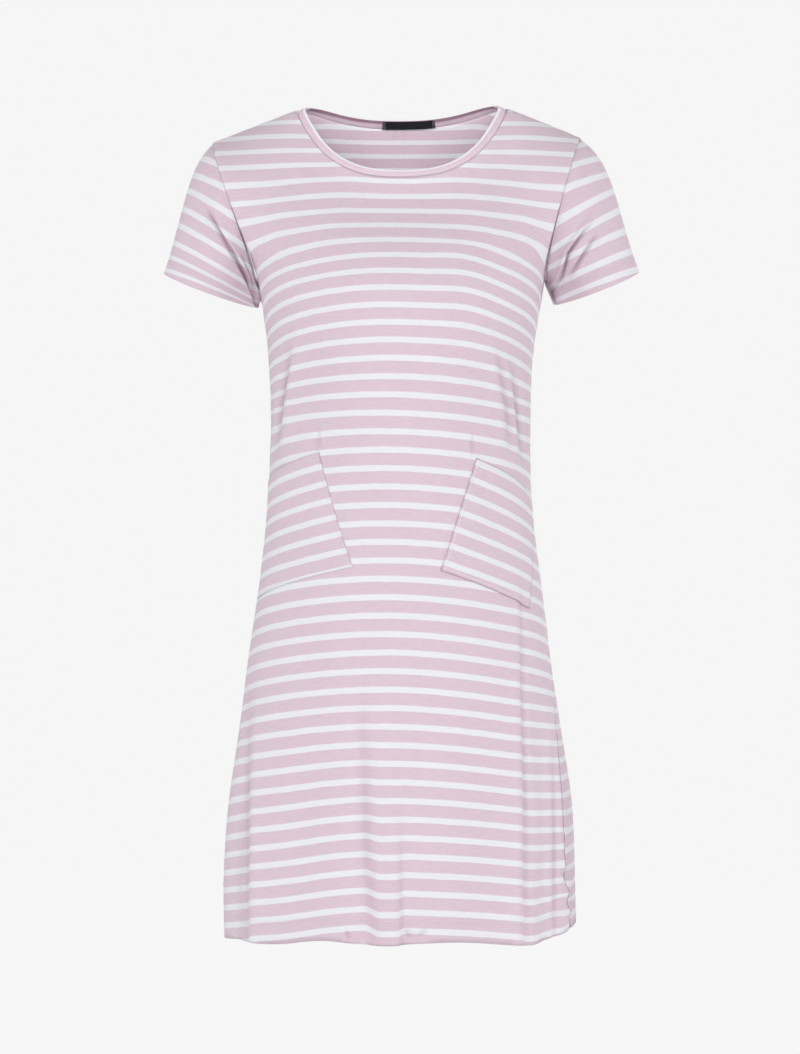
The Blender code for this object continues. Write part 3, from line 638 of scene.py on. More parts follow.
def back_count(point):
    drop = -point.z
    sign = 1 if point.x > 0 else -1
    degrees = abs(math.degrees(math.atan2(point.x, -point.y)))
    at_seam, seam = seam_count(sign, math.hypot(point.x, point.y), point.z)
    share = min(max((degrees - seam) / (180 - seam), 0), 1)
    follows = math.cos(share * math.pi / 2) ** 2
    follows *= max(rising(drop, 0.075, UNDERARM), rising(abs(point.x), 0.075, 0.150))
    middle = back_middle_count(point.z) + back_shift
    moved = pucker(degrees * sign, drop)
    if sign > 0:
        moved -= between(SEAM_STEP, drop) * hill(degrees, 72, 22)
    return middle + (at_seam - middle) * follows + moved / STRIPE_EVERY


print("stripes down the back:", round(back_middle_count(BACK_HEM) + back_shift, 1))

# %% Counting stripes on the sleeves
Sleeve = namedtuple("Sleeve", "obj inner outer up stripes")
# The two ends of the cuff and the way up the arm, all seen from the front, and for each stripe how
# far up the arm it starts at the cuff's outer end and how far it sinks over the width of a cuff.
CUFF_WIDTH = 0.1
SLEEVES = (
    Sleeve(sleeve_right, (-0.149, -0.211), (-0.249, -0.174), (0.345, 0.939),
           ((0, 0.003, 0.004), (1, 0.017, 0.012), (2, 0.032, 0.017), (3, 0.051, 0.020),
            (4, 0.068, 0.022), (5, 0.088, 0.022), (6, 0.105, 0.010), (7, 0.125, 0.010))),
    Sleeve(sleeve_left, (0.160, -0.208), (0.250, -0.173), (-0.366, 0.930),
           ((0, 0.002, -0.001), (1, 0.022, 0.005), (2, 0.044, 0.008), (3, 0.066, 0.018),
            (4, 0.087, 0.017), (5, 0.106, 0.000), (6, 0.125, -0.003), (7, 0.145, 0.000))),
)


def sleeve_count(sleeve, point):
    """Stripes between a point and the cuff."""
    inner, outer, up = Vector(sleeve.inner), Vector(sleeve.outer), Vector(sleeve.up)
    out = (inner - outer).normalized()
    from_outer = Vector((point.x, point.z)) - outer
    along, high = from_outer.dot(out) / CUFF_WIDTH, from_outer.dot(up)
    lines = [(start + sink * -along, float(n)) for n, start, sink in sleeve.stripes]
    return -straight(lines, high)


print("stripes on the sleeves:", [len(sleeve.stripes) for sleeve in SLEEVES])

# %% Counting stripes on the pockets
POCKET_TURN = {"right": math.radians(13.5), "left": math.radians(20)}
POCKET_STRIPE = {"right": (-0.0769, -0.3788), "left": (0.0717, -0.3743)}
POCKET_SHRINK = 0.955       # stripe to stripe, as a share of the body's, as it is not stretched
POCKET_FRONT = 0.112        # how far in front of the middle of the body that stripe starts
POCKET_ROUND = 0.128        # metres of cloth for one radian round the body there


def write(obj, name, values):
    """Keep one number for each of a mesh's points on the mesh itself."""
    layer = obj.data.attributes.new(name, "FLOAT", "POINT")
    layer.data.foreach_set("value", values)


def pocket_places(obj, side):
    """Along and across a pocket's stripes, for each of its points, measured on the cloth."""
    sign = 1 if side == "left" else -1
    tilt = POCKET_TURN[side]
    start = POCKET_STRIPE[side]
    begin = math.atan2(sign * start[0], POCKET_FRONT)

    def place_of(point):
        turn = math.atan2(sign * point.x, -point.y)
        across = (turn - begin) * POCKET_ROUND
        down = start[1] - point.z
        return (across * math.cos(tilt) + down * math.sin(tilt),
                (down * math.cos(tilt) - across * math.sin(tilt)) / POCKET_SHRINK)

    foot = [place_of(corner) for corner in sorted(pocket_corners[side], key=lambda c: c.z)[:2]]
    places = [place_of(vert.co) for vert in obj.data.vertices]
    write(obj, "off_foot", [along_path(foot, *place)[0] for place in places])
    return places

# %% Writing the places on the cloth
def write_places(obj, places):
    """Keep each point's place on the knit, across and down in metres, on the mesh."""
    layer = obj.data.attributes.new("knit", "FLOAT_VECTOR", "POINT")
    layer.data.foreach_set("vector", [value for across, down in places for value in (across, down, 0)])


BODY_ROUND = 0.135          # metres of cloth for one radian round the body
ARM_ROUND = 0.050
ABOVE_CUFF = 40             # whole stripes, more than a sleeve has, so that no count falls under 0

write_places(front, [(math.atan2(v.co.x, -v.co.y) * BODY_ROUND, front_count(v.co) * STRIPE_EVERY)
                     for v in front.data.vertices])
write_places(back, [(math.atan2(v.co.x, v.co.y) * BODY_ROUND, back_count(v.co) * STRIPE_EVERY)
                    for v in back.data.vertices])
for sleeve in SLEEVES:
    centre = sum((v.co for v in sleeve.obj.data.vertices), Vector()) / len(sleeve.obj.data.vertices)
    write_places(sleeve.obj, [
        (math.atan2(v.co.x - centre.x, centre.y - v.co.y) * ARM_ROUND,
         (sleeve_count(sleeve, v.co) + ABOVE_CUFF) * STRIPE_EVERY) for v in sleeve.obj.data.vertices])
write_places(pocket_right, pocket_places(pocket_right, "right"))
write_places(pocket_left, pocket_places(pocket_left, "left"))
print("points with a place on the knit:", sum(len(obj.data.vertices) for obj in (
    front, back, sleeve_right, sleeve_left, pocket_right, pocket_left)))

# %% [markdown]
# ## Creases and slack
#
# The large folds are in the CAD panels, and the creases of the list come on top. Cloth simulation
# finds its own creases, but here each one has its known place, so they are pressed in as a sculptor
# would: every point near a crease's line moves in along its normal, and beside the line a little
# out, most in the middle of the line and less at its ends. Each point also gets painted shade, darker
# the deeper it lies in a crease, which is kept on the mesh and stands in for the little light that gets
# down there.

# %% The form of a crease
# The cloth that stands up beside a crease: how high, as a share of the crease's depth, and how far
# from the line and how wide, in widths of the crease.
ONE_RIDGE = (0.75, 2.0, 1.3)
TWO_RIDGES = (0.35, 2.1, 1.1)
FLAT_AGAIN = 6              # widths from the line where the cloth is flat again
# Painted shade in a crease: full at this depth, and this wide as a share of the crease's width.
DARKEST_DEPTH = 0.010
DARK_WIDTH = 0.7            # of the crease's own


def crease_push(crease, x, z):
    """How far out the cloth moves at a point. A ridge of 1 or -1 stands on one side of the line."""
    away, side, share = along_path(crease.path, x, z)
    if away > crease.width * FLAT_AGAIN or not 0 < share < 1:
        return 0.0
    signed = away * side * (crease.ridge or 1) / crease.width
    high, middle, width = ONE_RIDGE if crease.ridge else TWO_RIDGES
    ridge = high * hill(signed if crease.ridge else abs(signed), middle, width)
    return crease.depth * math.sin(math.pi * share) ** 0.6 * (ridge - hill(signed, 0, 1))

# %% Pressing creases
def place_points(obj, places):
    """Move all of a mesh's points at once."""
    obj.data.vertices.foreach_set("co", [value for place in places for value in place])
    obj.data.update()


def move_out(obj, distance_of):
    """Move each point along its normal. All are measured first, as each move changes the normals."""
    place_points(obj, [v.co + v.normal * distance_of(v) for v in obj.data.vertices])


def crease_shade_at(crease, x, z):
    """How much painted shade a point gets from a crease, from 0 to 1, most at the middle of its line."""
    away, _, share = along_path(crease.path, x, z)
    if not 0 < share < 1:
        return 0.0
    dark = min(crease.depth / DARKEST_DEPTH, 1) if crease.shade is None else crease.shade
    return dark * math.sin(math.pi * share) * hill(away / crease.width, 0, DARK_WIDTH)


def press(obj, creases, chosen):
    """Press creases into the points that are chosen, and keep the painted shade that each gets in them.
    """
    def over_creases(combine, of_crease):
        return lambda v: combine(of_crease(c, v.co.x, v.co.z) for c in creases) if chosen(v.co) else 0.0

    write(obj, "fold", list(map(over_creases(max, crease_shade_at), obj.data.vertices)))
    move_out(obj, over_creases(sum, crease_push))
    print(f"{obj.name}: {len(creases)} creases")


press(front, FRONT_CREASES, lambda co: True)
press(back, BACK_CREASES, lambda co: True)
press(sleeve_right, RIGHT_SLEEVE_CREASES, lambda co: co.y < 0.0)
press(sleeve_left, LEFT_SLEEVE_CREASES, lambda co: co.y < 0.0)

# %% The hem by the fold
HEM_DIP = 0.0012            # how much lower the hem hangs between the two folds near the middle


def dip_of(co):
    degrees = math.degrees(math.atan2(co.x, -co.y))
    across = rising(degrees, -16, -9) * (1 - rising(degrees, -2, 2.5))
    return HEM_DIP * across * rising(-co.z, 0.780, 0.860)


place_points(front, [v.co - Vector((0, 0, dip_of(v.co))) for v in front.data.vertices])
print(f"the hem dips by {max(dip_of(v.co) for v in front.data.vertices) * 1000:.1f} mm")

# %% Slack in the cloth
SLACK = 0.0007
SLACK_SCALE = (16, 16, 7)   # waves to a metre, longer downwards than across

sheets = (front, back, sleeve_right, sleeve_left)
for obj in sheets:
    move_out(obj, lambda v: SLACK * noise.noise(v.co * Vector(SLACK_SCALE)))
print("slack:", ", ".join(obj.name for obj in sheets))

# %% [markdown]
# ## Seams
#
# A sewn seam shows as a fine valley, because the thread pulls both pieces in, and it puckers a
# little where the knit was stretched under the needle. The two pieces could be welded into one
# mesh, but then each could not be its own part. So both borders stay, are moved the last tenth of a
# millimetre together, and sink the same way into one valley.

# %% Borders and seams
SEWN_WITHIN = 0.0042        # border points closer than this to another sheet's are sewn to it
SEAM_REACH = 0.022          # how far from a seam the cloth shows it
SEAM_SINK = 0.0010
SEAM_SOFT = 0.0030
SEAM_CLOSE = 0.0002         # how far each border moves to the other
PUCKER = 0.0007
LEFT_PUCKER = 0.0048        # at the wearer's left side seam, low in the skirt
PUCKER_AT = 0.004           # distance from the seam where the puckers are highest
PUCKER_WIDE = 0.007
PUCKERS = 95                # to a metre


def borders(obj):
    """The places of a sheet's open border, by vertex."""
    shape = bmesh.new()
    shape.from_mesh(obj.data)
    found = {v.index: v.co.copy() for v in shape.verts if v.is_boundary}
    shape.free()
    return found


border = {obj.name: borders(obj) for obj in sheets}
sewn, free = {}, {}
for obj in sheets:
    others = near([co for other in sheets if other != obj for co in border[other.name].values()])
    sewn[obj.name] = {i for i, co in border[obj.name].items() if others.find(co)[2] < SEWN_WITHIN}
    free[obj.name] = set(border[obj.name]) - sewn[obj.name]
seam_tree = near([border[obj.name][i] for obj in sheets for i in sorted(sewn[obj.name])])
print("border points sewn together:", sum(map(len, sewn.values())))

# %% Sinking the seams
def sink_seams(obj):
    """Close the gap at each seam and sink the cloth beside it."""
    shape = bmesh.new()
    shape.from_mesh(obj.data)
    shape.verts.ensure_lookup_table()
    moves = {}
    for vert in shape.verts:
        place, _, away = seam_tree.find(vert.co)
        if away > SEAM_REACH:
            continue
        strong = rising(-place.z, 0.74, 0.80) if place.x > 0.14 else 0.0
        ripple = ((PUCKER + LEFT_PUCKER * strong) * noise.noise(place * PUCKERS)
                  * hill(away, PUCKER_AT, PUCKER_WIDE))
        moves[vert] = vert.normal * (ripple - SEAM_SINK * hill(away, 0, SEAM_SOFT))
        if vert.index in sewn[obj.name]:
            out = sum((vert.co - e.other_vert(vert).co for e in vert.link_edges if not e.is_boundary),
                      Vector())
            moves[vert] += out.normalized() * SEAM_CLOSE
    for vert, move in moves.items():
        vert.co += move
    shape.to_mesh(obj.data)
    shape.free()
    print(f"{obj.name}: {len(moves)} points moved at its seams")


for obj in sheets:
    sink_seams(obj)

# %% Distance from the free edges
def write_distance(obj, name, points, most=0.06):
    """Keep each point's distance from some places on the mesh, for stitches along an edge."""
    tree = near(points)
    write(obj, name, [min(tree.find(v.co)[2], most) for v in obj.data.vertices])


def points_of(obj, chosen, low=-1.0, high=1.0):
    """The places of some of an object's points, by their numbers, between two heights."""
    places = [obj.data.vertices[i].co.copy() for i in sorted(chosen)]
    return [place for place in places if low < place.z < high]


def low_left(co):
    """1 at the wearer's left side of the skirt, where the seam is pulled and its painted shade is
    darker.
    """
    return rising(co.x, 0.135, 0.150) * rising(-co.z, 0.590, 0.680)


# Painted shade along all seams, stronger low at the wearer's left, and on the back beside it there.
SEAM_SHADE = 0.12           # how dark a seam is
LEFT_SEAM_SHADE = 0.58           # and how much darker at the wearer's left, low in the skirt
BESIDE_SEAM_SHADE = 0.12         # how dark the back is beside it, towards the front

for obj in sheets:
    hem_below = -0.80 if obj in (front, back) else 1.0      # the neckline is no hem
    write_distance(obj, "hem", points_of(obj, free[obj.name], high=hem_below))
    write_distance(obj, "seam", points_of(obj, sewn[obj.name]))
    write(obj, "seam_shade", [SEAM_SHADE + LEFT_SEAM_SHADE * low_left(v.co) for v in obj.data.vertices])
# Painted shade on the back beside that seam, towards the front.
for vert, fold in zip(back.data.vertices, back.data.attributes["fold"].data):
    fold.value += BESIDE_SEAM_SHADE * low_left(vert.co) * (1 - rising(vert.co.y, -0.03, 0.02))
for obj in (pocket_right, pocket_left):
    write_distance(obj, "hem", list(borders(obj).values()))
print("on the front's mesh:", ", ".join(layer.name for layer in front.data.attributes))

# %% [markdown]
# ## Pockets on the panel
#
# A patch pocket is sewn down along three edges and is slack at its mouth. The CAD pocket stands off
# the panel by one small step all over, which would leave a shadow all round it. A Shrinkwrap
# modifier could pull it down, but it would pull the middle down too, so each point's height over the
# panel is set from how far it is from the sewn edge and from the mouth.

# %% Sewing the pockets down
SEWN_DOWN = 0.00008         # under the edge
POCKET_LOFT = 0.00055       # under the middle
POCKET_GAPE = 0.0016        # more than that at the middle of the mouth
FOOT_ROLL = 0.0010          # more at the foot, which is rolled
FOOT_WIDE = 0.0016
GAPE_DEEP = 0.012           # how far down from the mouth it is slack
JERSEY = 0.0009             # thickness of the cloth


def sew_down(obj, ground, corners):
    """Let a pocket lie on its panel."""
    tree = bvhtree.BVHTree.FromPolygons([v.co for v in ground.data.vertices],
                                        [p.vertices[:] for p in ground.data.polygons])
    rim = near(list(borders(obj).values()))
    mouth = [(corner.x, corner.z) for corner in sorted(corners, key=lambda c: -c.z)[:2]]
    foot = obj.data.attributes["off_foot"].data

    def lift(v):
        place, normal, _, _ = tree.find_nearest(v.co)
        stands = (v.co - place).dot(normal)
        away, _, share = along_path(mouth, v.co.x, v.co.z)
        height = SEWN_DOWN + (POCKET_LOFT - SEWN_DOWN) * rising(rim.find(v.co)[2], 0, 0.008)
        height += FOOT_ROLL * hill(foot[v.index].value, 0, FOOT_WIDE)
        gape = POCKET_GAPE * math.sin(math.pi * share) * hill(away, 0, GAPE_DEEP)
        return JERSEY + height + gape - stands

    move_out(obj, lift)


sew_down(pocket_right, front, pocket_corners["right"])
sew_down(pocket_left, front, pocket_corners["left"])
print("pockets sewn to:", front.name)

# %% [markdown]
# ## Hems and thickness
#
# Jersey is about half a millimetre thick. A hem is the same cloth turned up inside and sewn through
# with two needles, so it is twice as thick for two centimetres. Solidify gives the sheet its inside;
# after that the inside of the hem is moved in a little further, which is all that a turned hem
# shows from below.

# %% Thickness
HEM_DEPTH = 0.022
CUFF_HEM = 0.018
TURN_UP = 0.0008            # how far the turned-up cloth lies inside
FOLD_EDGE = 0.002           # how far from the edge it starts to lie flat


def thicken(obj, thickness, hem=0.0):
    """Give a sheet its inner side, and let the turned-up hem lie on it."""
    count = len(obj.data.vertices)
    pick(obj)
    wall = obj.modifiers.new("inner side", "SOLIDIFY")
    wall.thickness = thickness
    wall.offset = -1
    wall.use_even_offset = True
    wall.thickness_clamp = 2
    bpy.ops.object.modifier_apply(modifier=wall.name)
    if hem:
        up = [a.value for a in obj.data.attributes["hem"].data]
        move_out(obj, lambda v: TURN_UP * min(1, up[v.index] / FOLD_EDGE)
                 if v.index >= count and up[v.index] < hem else 0.0)
    bpy.ops.object.shade_smooth()
    print(f"{obj.name}: {len(obj.data.polygons)} faces with its inner side")


def cloth_area(obj):
    """The area of one side of a thin sheet, in square metres."""
    return sum(p.area for p in obj.data.polygons) / 2


thicken(front, JERSEY, HEM_DEPTH)
thicken(back, JERSEY, HEM_DEPTH)
thicken(sleeve_right, JERSEY, CUFF_HEM)
thicken(sleeve_left, JERSEY, CUFF_HEM)
thicken(pocket_right, JERSEY)
thicken(pocket_left, JERSEY)
for obj in (*sheets, pocket_right, pocket_left):
    print(f"{obj.name}: {cloth_area(obj):.4f} square metres of cloth")

# %% [markdown]
# ## Neck binding
#
# The neckline is bound with a narrow folded strip of the same jersey, cut so that a white stripe
# lands on its free edge. A strip could be swept along the neckline as a curve. The CAD binding
# already has the right path and section, so its copy is merged and rounded off with a subdivision
# surface, and each point keeps its distance from the seam, which tells the material where the
# white edge begins.

# %% Binding
BINDING_REACH = 0.010       # farther than the strip is wide
BINDING_WIDER = 0.14        # how much the strip is let out towards its free edge, at the front
BINDING_OVERLAP = 0.0006    # how far it goes over the seam at the back
OVERLAP_WIDE = 0.0025
# On the hidden side of the back binding, painted shade deepens between these heights to a dark line at
# the free edge.
FREE_EDGE = (0.0054, 0.0060)    # heights between which the hidden side gets dark
ALL_PINK = 0.004            # the most that the hidden side counts, so that it gets no white edge
NECK_ROUND = 0.1            # metres of cloth for one radian round the neck

binding = merged_copy("neck_binding", "neckline_binding")
make_squares(pairing=1.0)
subdivide_smooth(binding, 2)
neckline = near([place for obj in (front, back) for place in points_of(obj, free[obj.name], low=-0.2)])
strip = near([v.co.copy() for v in binding.data.vertices])


def on_binding(vert):
    """How far a point of the strip is from its seam, where it moves, and how much painted shade it gets
    there.
    """
    seam_place = neckline.find(vert.co)[0]
    close = [place for place, _, _ in strip.find_range(seam_place, BINDING_REACH)]
    up = (sum(close, Vector()) / len(close) - seam_place).normalized()
    height = (vert.co - seam_place).dot(up)
    overlap = BINDING_OVERLAP * hill(height, 0, OVERLAP_WIDE) * (vert.co.y > 0)
    wider = BINDING_WIDER * (1 - rising(vert.co.y, -0.03, 0.02))
    looks_out = vert.normal.dot(Vector((seam_place.x, seam_place.y, 0)).normalized())
    hidden = looks_out < (0.35 if vert.co.y > 0 else -0.5)
    # Painted shade: a faint tint on the hidden side of the back binding, and a dark line at its top.
    dark = 0.08 + 0.9 * rising(height, *FREE_EDGE) if hidden and vert.co.y > 0.01 else 0.0
    return min(height, ALL_PINK) if hidden else height, vert.co + up * (height * wider - overlap), dark


off_seam, moved, dark = zip(*map(on_binding, binding.data.vertices))
middle = sum((v.co for v in binding.data.vertices), Vector()) / len(binding.data.vertices)
write_places(binding, [(math.atan2(v.co.x - middle.x, middle.y - v.co.y) * NECK_ROUND, off_seam[v.index])
                       for v in binding.data.vertices])
write(binding, "off_seam", off_seam)
write(binding, "fold", dark)
place_points(binding, moved)
print(f"binding: {len(binding.data.polygons)} faces, {cloth_area(binding):.4f} square metres,",
      f"{max(off_seam) * 1000:.1f} mm high")

# %% Label
label = merged_copy("neck_label", "size_label")
make_squares(pairing=1.0)
print(f"label: {len(label.data.polygons)} faces, {cloth_area(label):.5f} square metres")

# %% [markdown]
# ## Jersey
#
# Three effects are shared by all the cloth, so each is a node group with named inputs: the knitted
# stripes, the knit itself, and the unevenness of dyed yarn. A fourth draws sewn lines at a distance
# from an edge. An image texture could do this too, but a pattern from numbers stays sharp at any
# distance, and every piece can give its own values. The shader itself stays in each material. Node
# trees hold many small sums, so a node's output is wrapped in a Wire, and a sum of Wires adds the
# Math nodes by itself.

# %% Tools for nodes
def add_node(tree, kind, **settings):
    node = tree.nodes.new(kind)
    for name, value in settings.items():
        setattr(node, name, value)
    return node


def feed(socket, value):
    """Put a number or colour in a socket, or run a wire to it."""
    if isinstance(value, Wire):
        value.tree.links.new(value.socket, socket)
    else:
        socket.default_value = value


class Wire:
    """A node's output. Each sum with it adds a Math node and gives that node's output."""

    def __init__(self, tree, socket):
        self.tree, self.socket = tree, socket

    def math(self, operation, *values):
        node = add_node(self.tree, "ShaderNodeMath", operation=operation)
        for socket, value in zip(node.inputs, values):
            feed(socket, value)
        return Wire(self.tree, node.outputs[0])

    def __add__(self, other):
        return self.math("ADD", self, other)

    def __sub__(self, other):
        return self.math("SUBTRACT", self, other)

    def __rsub__(self, other):
        return self.math("SUBTRACT", other, self)

    def __mul__(self, other):
        return self.math("MULTIPLY", self, other)

    def __truediv__(self, other):
        return self.math("DIVIDE", self, other)

    def __abs__(self):
        return self.math("ABSOLUTE", self)

    def fract(self):
        return self.math("FRACT", self)

    def sine(self):
        return self.math("SINE", self)

# %% Ramps, mixes and noise
def ramp(value, start, end, low=0.0, high=1.0):
    """Turn one range into another, smoothly, and stay inside it."""
    node = add_node(value.tree, "ShaderNodeMapRange", interpolation_type="SMOOTHSTEP")
    for socket, given in zip(node.inputs, (value, start, end, low, high)):
        feed(socket, given)
    return Wire(value.tree, node.outputs[0])


def blend(share, first, second, kind="MIX"):
    """Mix two colours."""
    node = add_node(share.tree, "ShaderNodeMix", data_type="RGBA", blend_type=kind)
    feed(node.inputs["Factor"], share)
    feed(node.inputs[6], first)
    feed(node.inputs[7], second)
    return Wire(share.tree, node.outputs[2])


def shade(share, colour, dark):
    """Darken a colour where the share is high."""
    return blend(share, colour, dark, "MULTIPLY")


def clouds(place, across, down, detail=2.0, roughness=0.5):
    """Noise, with its own scale across and down the cloth."""
    mapping = add_node(place.tree, "ShaderNodeMapping")
    feed(mapping.inputs["Vector"], place)
    set_inputs(mapping, {"Scale": (across, down, 1)})
    node = add_node(place.tree, "ShaderNodeTexNoise")
    feed(node.inputs["Vector"], Wire(place.tree, mapping.outputs[0]))
    set_inputs(node, {"Scale": 1.0, "Detail": detail, "Roughness": roughness})
    return Wire(place.tree, node.outputs["Fac"])


def split(place):
    """The three numbers of a place."""
    node = add_node(place.tree, "ShaderNodeSeparateXYZ")
    feed(node.inputs[0], place)
    return [Wire(place.tree, socket) for socket in node.outputs]


def from_mesh(tree, name, output="Fac"):
    """What the mesh says about each of its points."""
    return Wire(tree, add_node(tree, "ShaderNodeAttribute", attribute_name=name).outputs[output])


def bump(shader, height, strength, distance):
    """Let a height raise and lower the surface a little."""
    node = add_node(height.tree, "ShaderNodeBump")
    set_inputs(node, {"Strength": strength, "Distance": distance})
    feed(node.inputs["Height"], height)
    feed(shader.inputs["Normal"], Wire(height.tree, node.outputs[0]))

# %% Tools for groups
def new_group(name, inputs, outputs):
    """A node group, with its inputs as wires and its outputs as sockets, both by name. An input
    without a value is a place."""
    tree = bpy.data.node_groups.new(name, "ShaderNodeTree")
    for title, value in inputs.items():
        kind = "NodeSocketVector" if value is None else "NodeSocketFloat"
        socket = tree.interface.new_socket(name=title, in_out="INPUT", socket_type=kind)
        if value is not None:
            socket.default_value = value
    for title in outputs:
        tree.interface.new_socket(name=title, in_out="OUTPUT", socket_type="NodeSocketFloat")
    given = add_node(tree, "NodeGroupInput").outputs
    result = add_node(tree, "NodeGroupOutput").inputs
    return tree, {title: Wire(tree, given[title]) for title in inputs}, result


def use_group(tree, group, **values):
    """Place a group and give it values."""
    node = add_node(tree, "ShaderNodeGroup", node_tree=group)
    for name, value in values.items():
        feed(node.inputs[name], value)
    return {socket.name: Wire(tree, socket) for socket in node.outputs}

# %% Stripes, knit and yarn
WANDER = 0.0010             # how far a stripe's edge strays

stripes, given, result = new_group(
    "knitted stripes", {"Place": None, "Every": STRIPE_EVERY, "Wide": 0.0062, "Soft": 0.0005},
    ("White",))
down = split(given["Place"])[1] + (clouds(given["Place"], 60, 60) - 0.5) * WANDER
off = abs((down / given["Every"] + 0.5).fract() - 0.5) * given["Every"] - given["Wide"] * 0.5
feed(result["White"], ramp(off, given["Soft"] * -1.0, given["Soft"], 1.0, 0.0))

knit, given, result = new_group(
    "jersey knit", {"Place": None, "Wale": 0.00085, "Course": 0.00065}, ("Height", "Shade"))
across, down, _ = split(given["Place"])
across, down = across / given["Wale"], down / given["Course"]
leg = abs(across.fract() - 0.5)
rib = abs((across * math.pi).sine())
loop = ((down + leg * 1.5) * math.tau).sine()
height = rib * 0.6 + loop * 0.2
feed(result["Height"], height)
feed(result["Shade"], ramp(height, 0.0, 0.7))

yarn, given, result = new_group("uneven yarn", {"Place": None}, ("Streak", "Mottle"))
feed(result["Streak"], ramp(clouds(given["Place"], 90, 1500, 2.0, 0.6), 0.3, 0.7))
feed(result["Mottle"], ramp(clouds(given["Place"], 22, 22, 3.0, 0.6), 0.25, 0.75))

# %% Sewn lines
sewing, given, result = new_group(
    "sewn line", {"Edge": 0.0, "Along": 0.0, "At": 0.02, "Stitch": 0.003, "Thick": 0.0007},
    ("Thread", "Dip"))
away = abs(given["Edge"] - given["At"])
beat = abs((given["Along"] / given["Stitch"]).fract() - 0.5)
feed(result["Thread"], ramp(away, 0.0, given["Thick"], 1.0, 0.0) * ramp(beat, 0.30, 0.42, 1.0, 0.0))
feed(result["Dip"], ramp(away, 0.0, given["Thick"] * 2.6, 1.0, 0.0))
print("node groups:", len(bpy.data.node_groups))

# %% Dyes and shades
PINK = (0.795, 0.652, 0.730, 1)
PINK_DEEP = (0.720, 0.575, 0.660, 1)
WHITE = (0.905, 0.915, 0.955, 1)
GREYED = (0.865, 0.865, 0.920, 1)
THREAD = (0.930, 0.870, 0.910, 1)
# Colours of painted shade: in creases, along seams and pocket edges, between the knit's loops, by the
# stitches.
PAINTED_SHADE_COLOUR = (0.300, 0.160, 0.245, 1)
KNIT_SHADE_COLOUR = (0.42, 0.32, 0.39, 1)
STITCH_SHADE_COLOUR = (0.45, 0.36, 0.42, 1)

# How strong each shade is, and between which distances from its edge a line fades, in metres.
MOTTLE = 0.25
KNIT_SHADE = 0.16
FOLD_SHADE = 0.85
STITCH_SHADE = 0.10
WHITE_EDGE = 0.0007
ROLL_FADE = (0.0019, 0.0025)
SEAM_FADE = (0.0002, 0.0014)
RIM_SHADE_FADE = (0.0003, 0.0013)

# %% Striped jersey
def jersey(name, lines=(), white_from=None, shade_painted=False, rolled=False, seam_shaded=False, rim=0.0,
           thread=0.35):
    """Striped jersey. lines are the sewn lines' distances from the edge, rim how dark the painted shade
    along the edge is, and thread how much the stitches show."""
    material, tree, shader = new_material(name)
    place = from_mesh(tree, "knit", "Vector")
    mask = use_group(tree, stripes, Place=place)["White"]
    loops = use_group(tree, knit, Place=place)
    uneven = use_group(tree, yarn, Place=place)
    if white_from is not None:
        mask = ramp(from_mesh(tree, "off_seam"), white_from, white_from + WHITE_EDGE)
    if rolled:
        mask = mask.math("MAXIMUM", mask, ramp(from_mesh(tree, "off_foot"), *ROLL_FADE, 1.0, 0.0))
    dyed = blend(uneven["Streak"], PINK_DEEP, PINK)
    dyed = blend(uneven["Mottle"] * MOTTLE, dyed, PINK)
    colour = blend(mask, dyed, blend(uneven["Streak"], GREYED, WHITE))
    # Painted shade between the knit's loops, darker where the knit lies low.
    colour = shade((1.0 - loops["Shade"]) * KNIT_SHADE, colour, KNIT_SHADE_COLOUR)
    # Painted shade in the creases, on the back binding and on the back beside the left seam.
    if shade_painted:
        colour = shade(from_mesh(tree, "fold") * FOLD_SHADE, colour, PAINTED_SHADE_COLOUR)
    # Painted shade along the seams.
    if seam_shaded:
        line = ramp(from_mesh(tree, "seam"), *SEAM_FADE, 1.0, 0.0)
        colour = shade(line * from_mesh(tree, "seam_shade"), colour, PAINTED_SHADE_COLOUR)
    height = loops["Height"] * 0.25
    if lines:
        edge = from_mesh(tree, "hem")
        across, down, _ = split(place)
        along = across + down * 0.7
        # Painted shade along the pocket's edges.
        if rim:
            colour = shade(ramp(edge, *RIM_SHADE_FADE, rim, 0.0), colour, PAINTED_SHADE_COLOUR)
        for at in lines:
            sewn_line = use_group(tree, sewing, Edge=edge, Along=along, At=at)
            # Painted shade in the sunken stitch line, on top of its bump.
            colour = shade(sewn_line["Dip"] * STITCH_SHADE, colour, STITCH_SHADE_COLOUR)
            colour = blend(sewn_line["Thread"] * thread, colour, THREAD)
            height = height - sewn_line["Dip"] * 0.8 + sewn_line["Thread"] * 0.7
    feed(shader.inputs["Base Color"], colour)
    feed(shader.inputs["Roughness"], ramp(loops["Height"], 0.0, 0.8, 0.95, 0.80))
    bump(shader, height, 0.5, 0.0006)
    set_inputs(shader, {"Specular IOR Level": 0.25, "Sheen Weight": 0.12, "Sheen Roughness": 0.45})
    # Thin jersey lets some light through.
    set_inputs(shader, {"Subsurface Weight": 0.30, "Subsurface Radius": (1.0, 0.8, 0.9),
                        "Subsurface Scale": 0.0012})
    return material

# %% A jersey for each piece
HEM_LINES = (0.0190, 0.0225)
CUFF_LINES = (0.0150, 0.0180)
for piece, name, looks in (
        (front, "jersey_front", dict(lines=HEM_LINES, shade_painted=True, seam_shaded=True)),
        (back, "jersey_back", dict(lines=HEM_LINES, shade_painted=True, seam_shaded=True)),
        (sleeve_right, "jersey_right_sleeve", dict(lines=CUFF_LINES, shade_painted=True, seam_shaded=True)),
        (sleeve_left, "jersey_left_sleeve", dict(lines=CUFF_LINES, shade_painted=True, seam_shaded=True)),
        (pocket_right, "jersey_right_pocket", dict(lines=(0.0030,), rolled=True, rim=0.10, thread=0.5)),
        (pocket_left, "jersey_left_pocket", dict(lines=(0.0032,), rim=0.34, thread=0.95)),
        (binding, "jersey_binding", dict(white_from=0.0059, shade_painted=True))):
    piece.data.materials.append(jersey(name, **looks))
    print(f"{piece.name}: {name}")

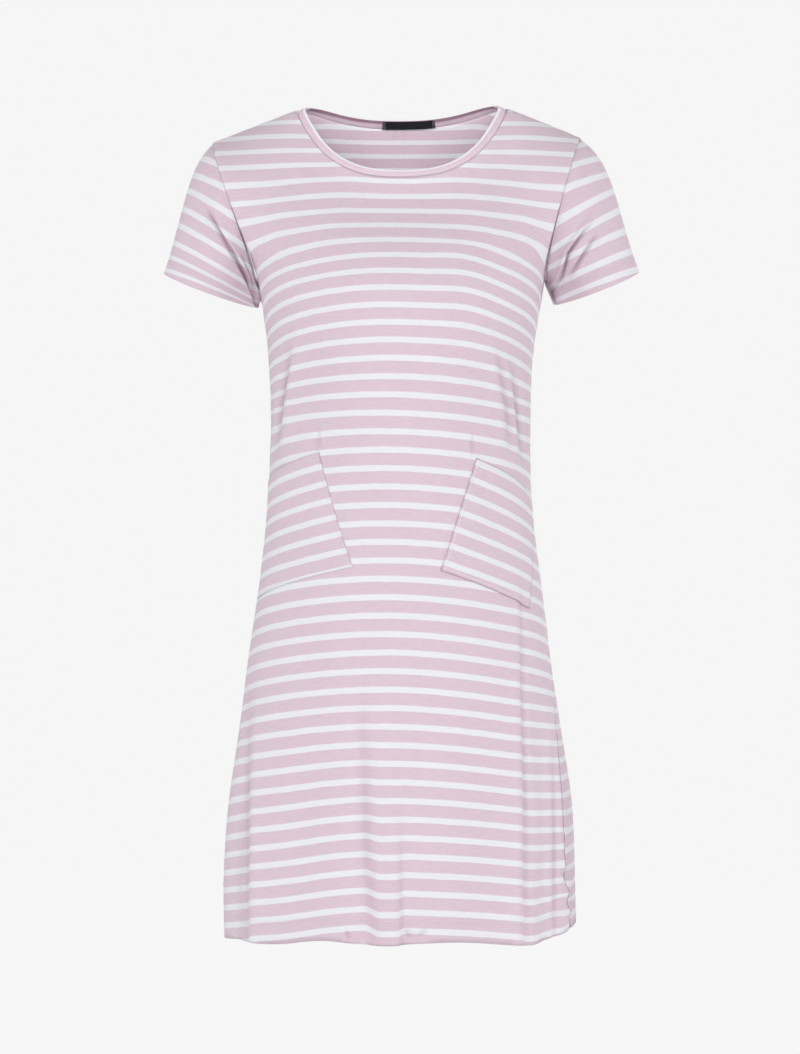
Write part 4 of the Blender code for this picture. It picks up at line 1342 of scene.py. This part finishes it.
# %% Label satin
label_low, label_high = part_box("neck_label")
satin, tree, shader = new_material("label_satin")
place = Wire(tree, add_node(tree, "ShaderNodeTexCoord").outputs["Object"])
weave = clouds(place, 900, 2600, 1.0)
colour = blend(weave, (0.004, 0.004, 0.005, 1), (0.016, 0.016, 0.019, 1))
height = weave
across, _, up = split(place)
for end in (label_low[0], label_high[0]):
    for at in (0.0016, 0.0030):
        stitch = use_group(tree, sewing, Edge=abs(across - end), Along=up, At=at, Stitch=0.0022,
                           Thick=0.0006)
        colour = blend(stitch["Thread"] * 0.55, colour, (0.42, 0.40, 0.43, 1))
        height = height + stitch["Thread"]
feed(shader.inputs["Base Color"], colour)
feed(shader.inputs["Roughness"], ramp(weave, 0.3, 0.7, 0.45, 0.60))
bump(shader, height, 0.4, 0.0002)
set_inputs(shader, {"Specular IOR Level": 0.12})
label.data.materials.append(satin)
print("materials:", ", ".join(sorted(m.name for m in bpy.data.materials)))

# %% [markdown]
# ## Handing the pieces over
#
# Each piece takes the place of its CAD node, moves with the one body, and takes its finish from its
# own slot. The table also lists what each was cut from: a jersey sheet of that width and length, and
# how much of that rectangle the cut uses.

# %% Pieces and nodes
# piece, node, flat width and length, share of the rectangle that is cut, how it is held, on what
CUTS = (
    (front, "front", (0.530, 0.900), 0.80, "hung", ["back_panel"]),
    (back, "back", (0.530, 0.900), 0.81, "hung", ["front_panel"]),
    (sleeve_right, "sleeve_right", (0.300, 0.135), 0.70, "hung", ["front_panel", "back_panel"]),
    (sleeve_left, "sleeve_left", (0.300, 0.135), 0.75, "hung", ["front_panel", "back_panel"]),
    (pocket_right, "pocket_right", (0.125, 0.140), 0.95, "stretched", ["front_panel"]),
    (pocket_left, "pocket_left", (0.118, 0.132), 0.95, "stretched", ["front_panel"]),
    (binding, "neck_binding", (0.520, 0.0110), 1.0, "stretched", ["front_panel", "back_panel"]),
)
for piece, node, flat, share, held, rests_on in CUTS:
    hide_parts(node)
    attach(piece, "root")
    flat[0] * flat[1] * share
    [label] if node == "back" else ()
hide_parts("neck_label")
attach(label, "root")
print("pieces handed over:", len(CUTS) + 1)
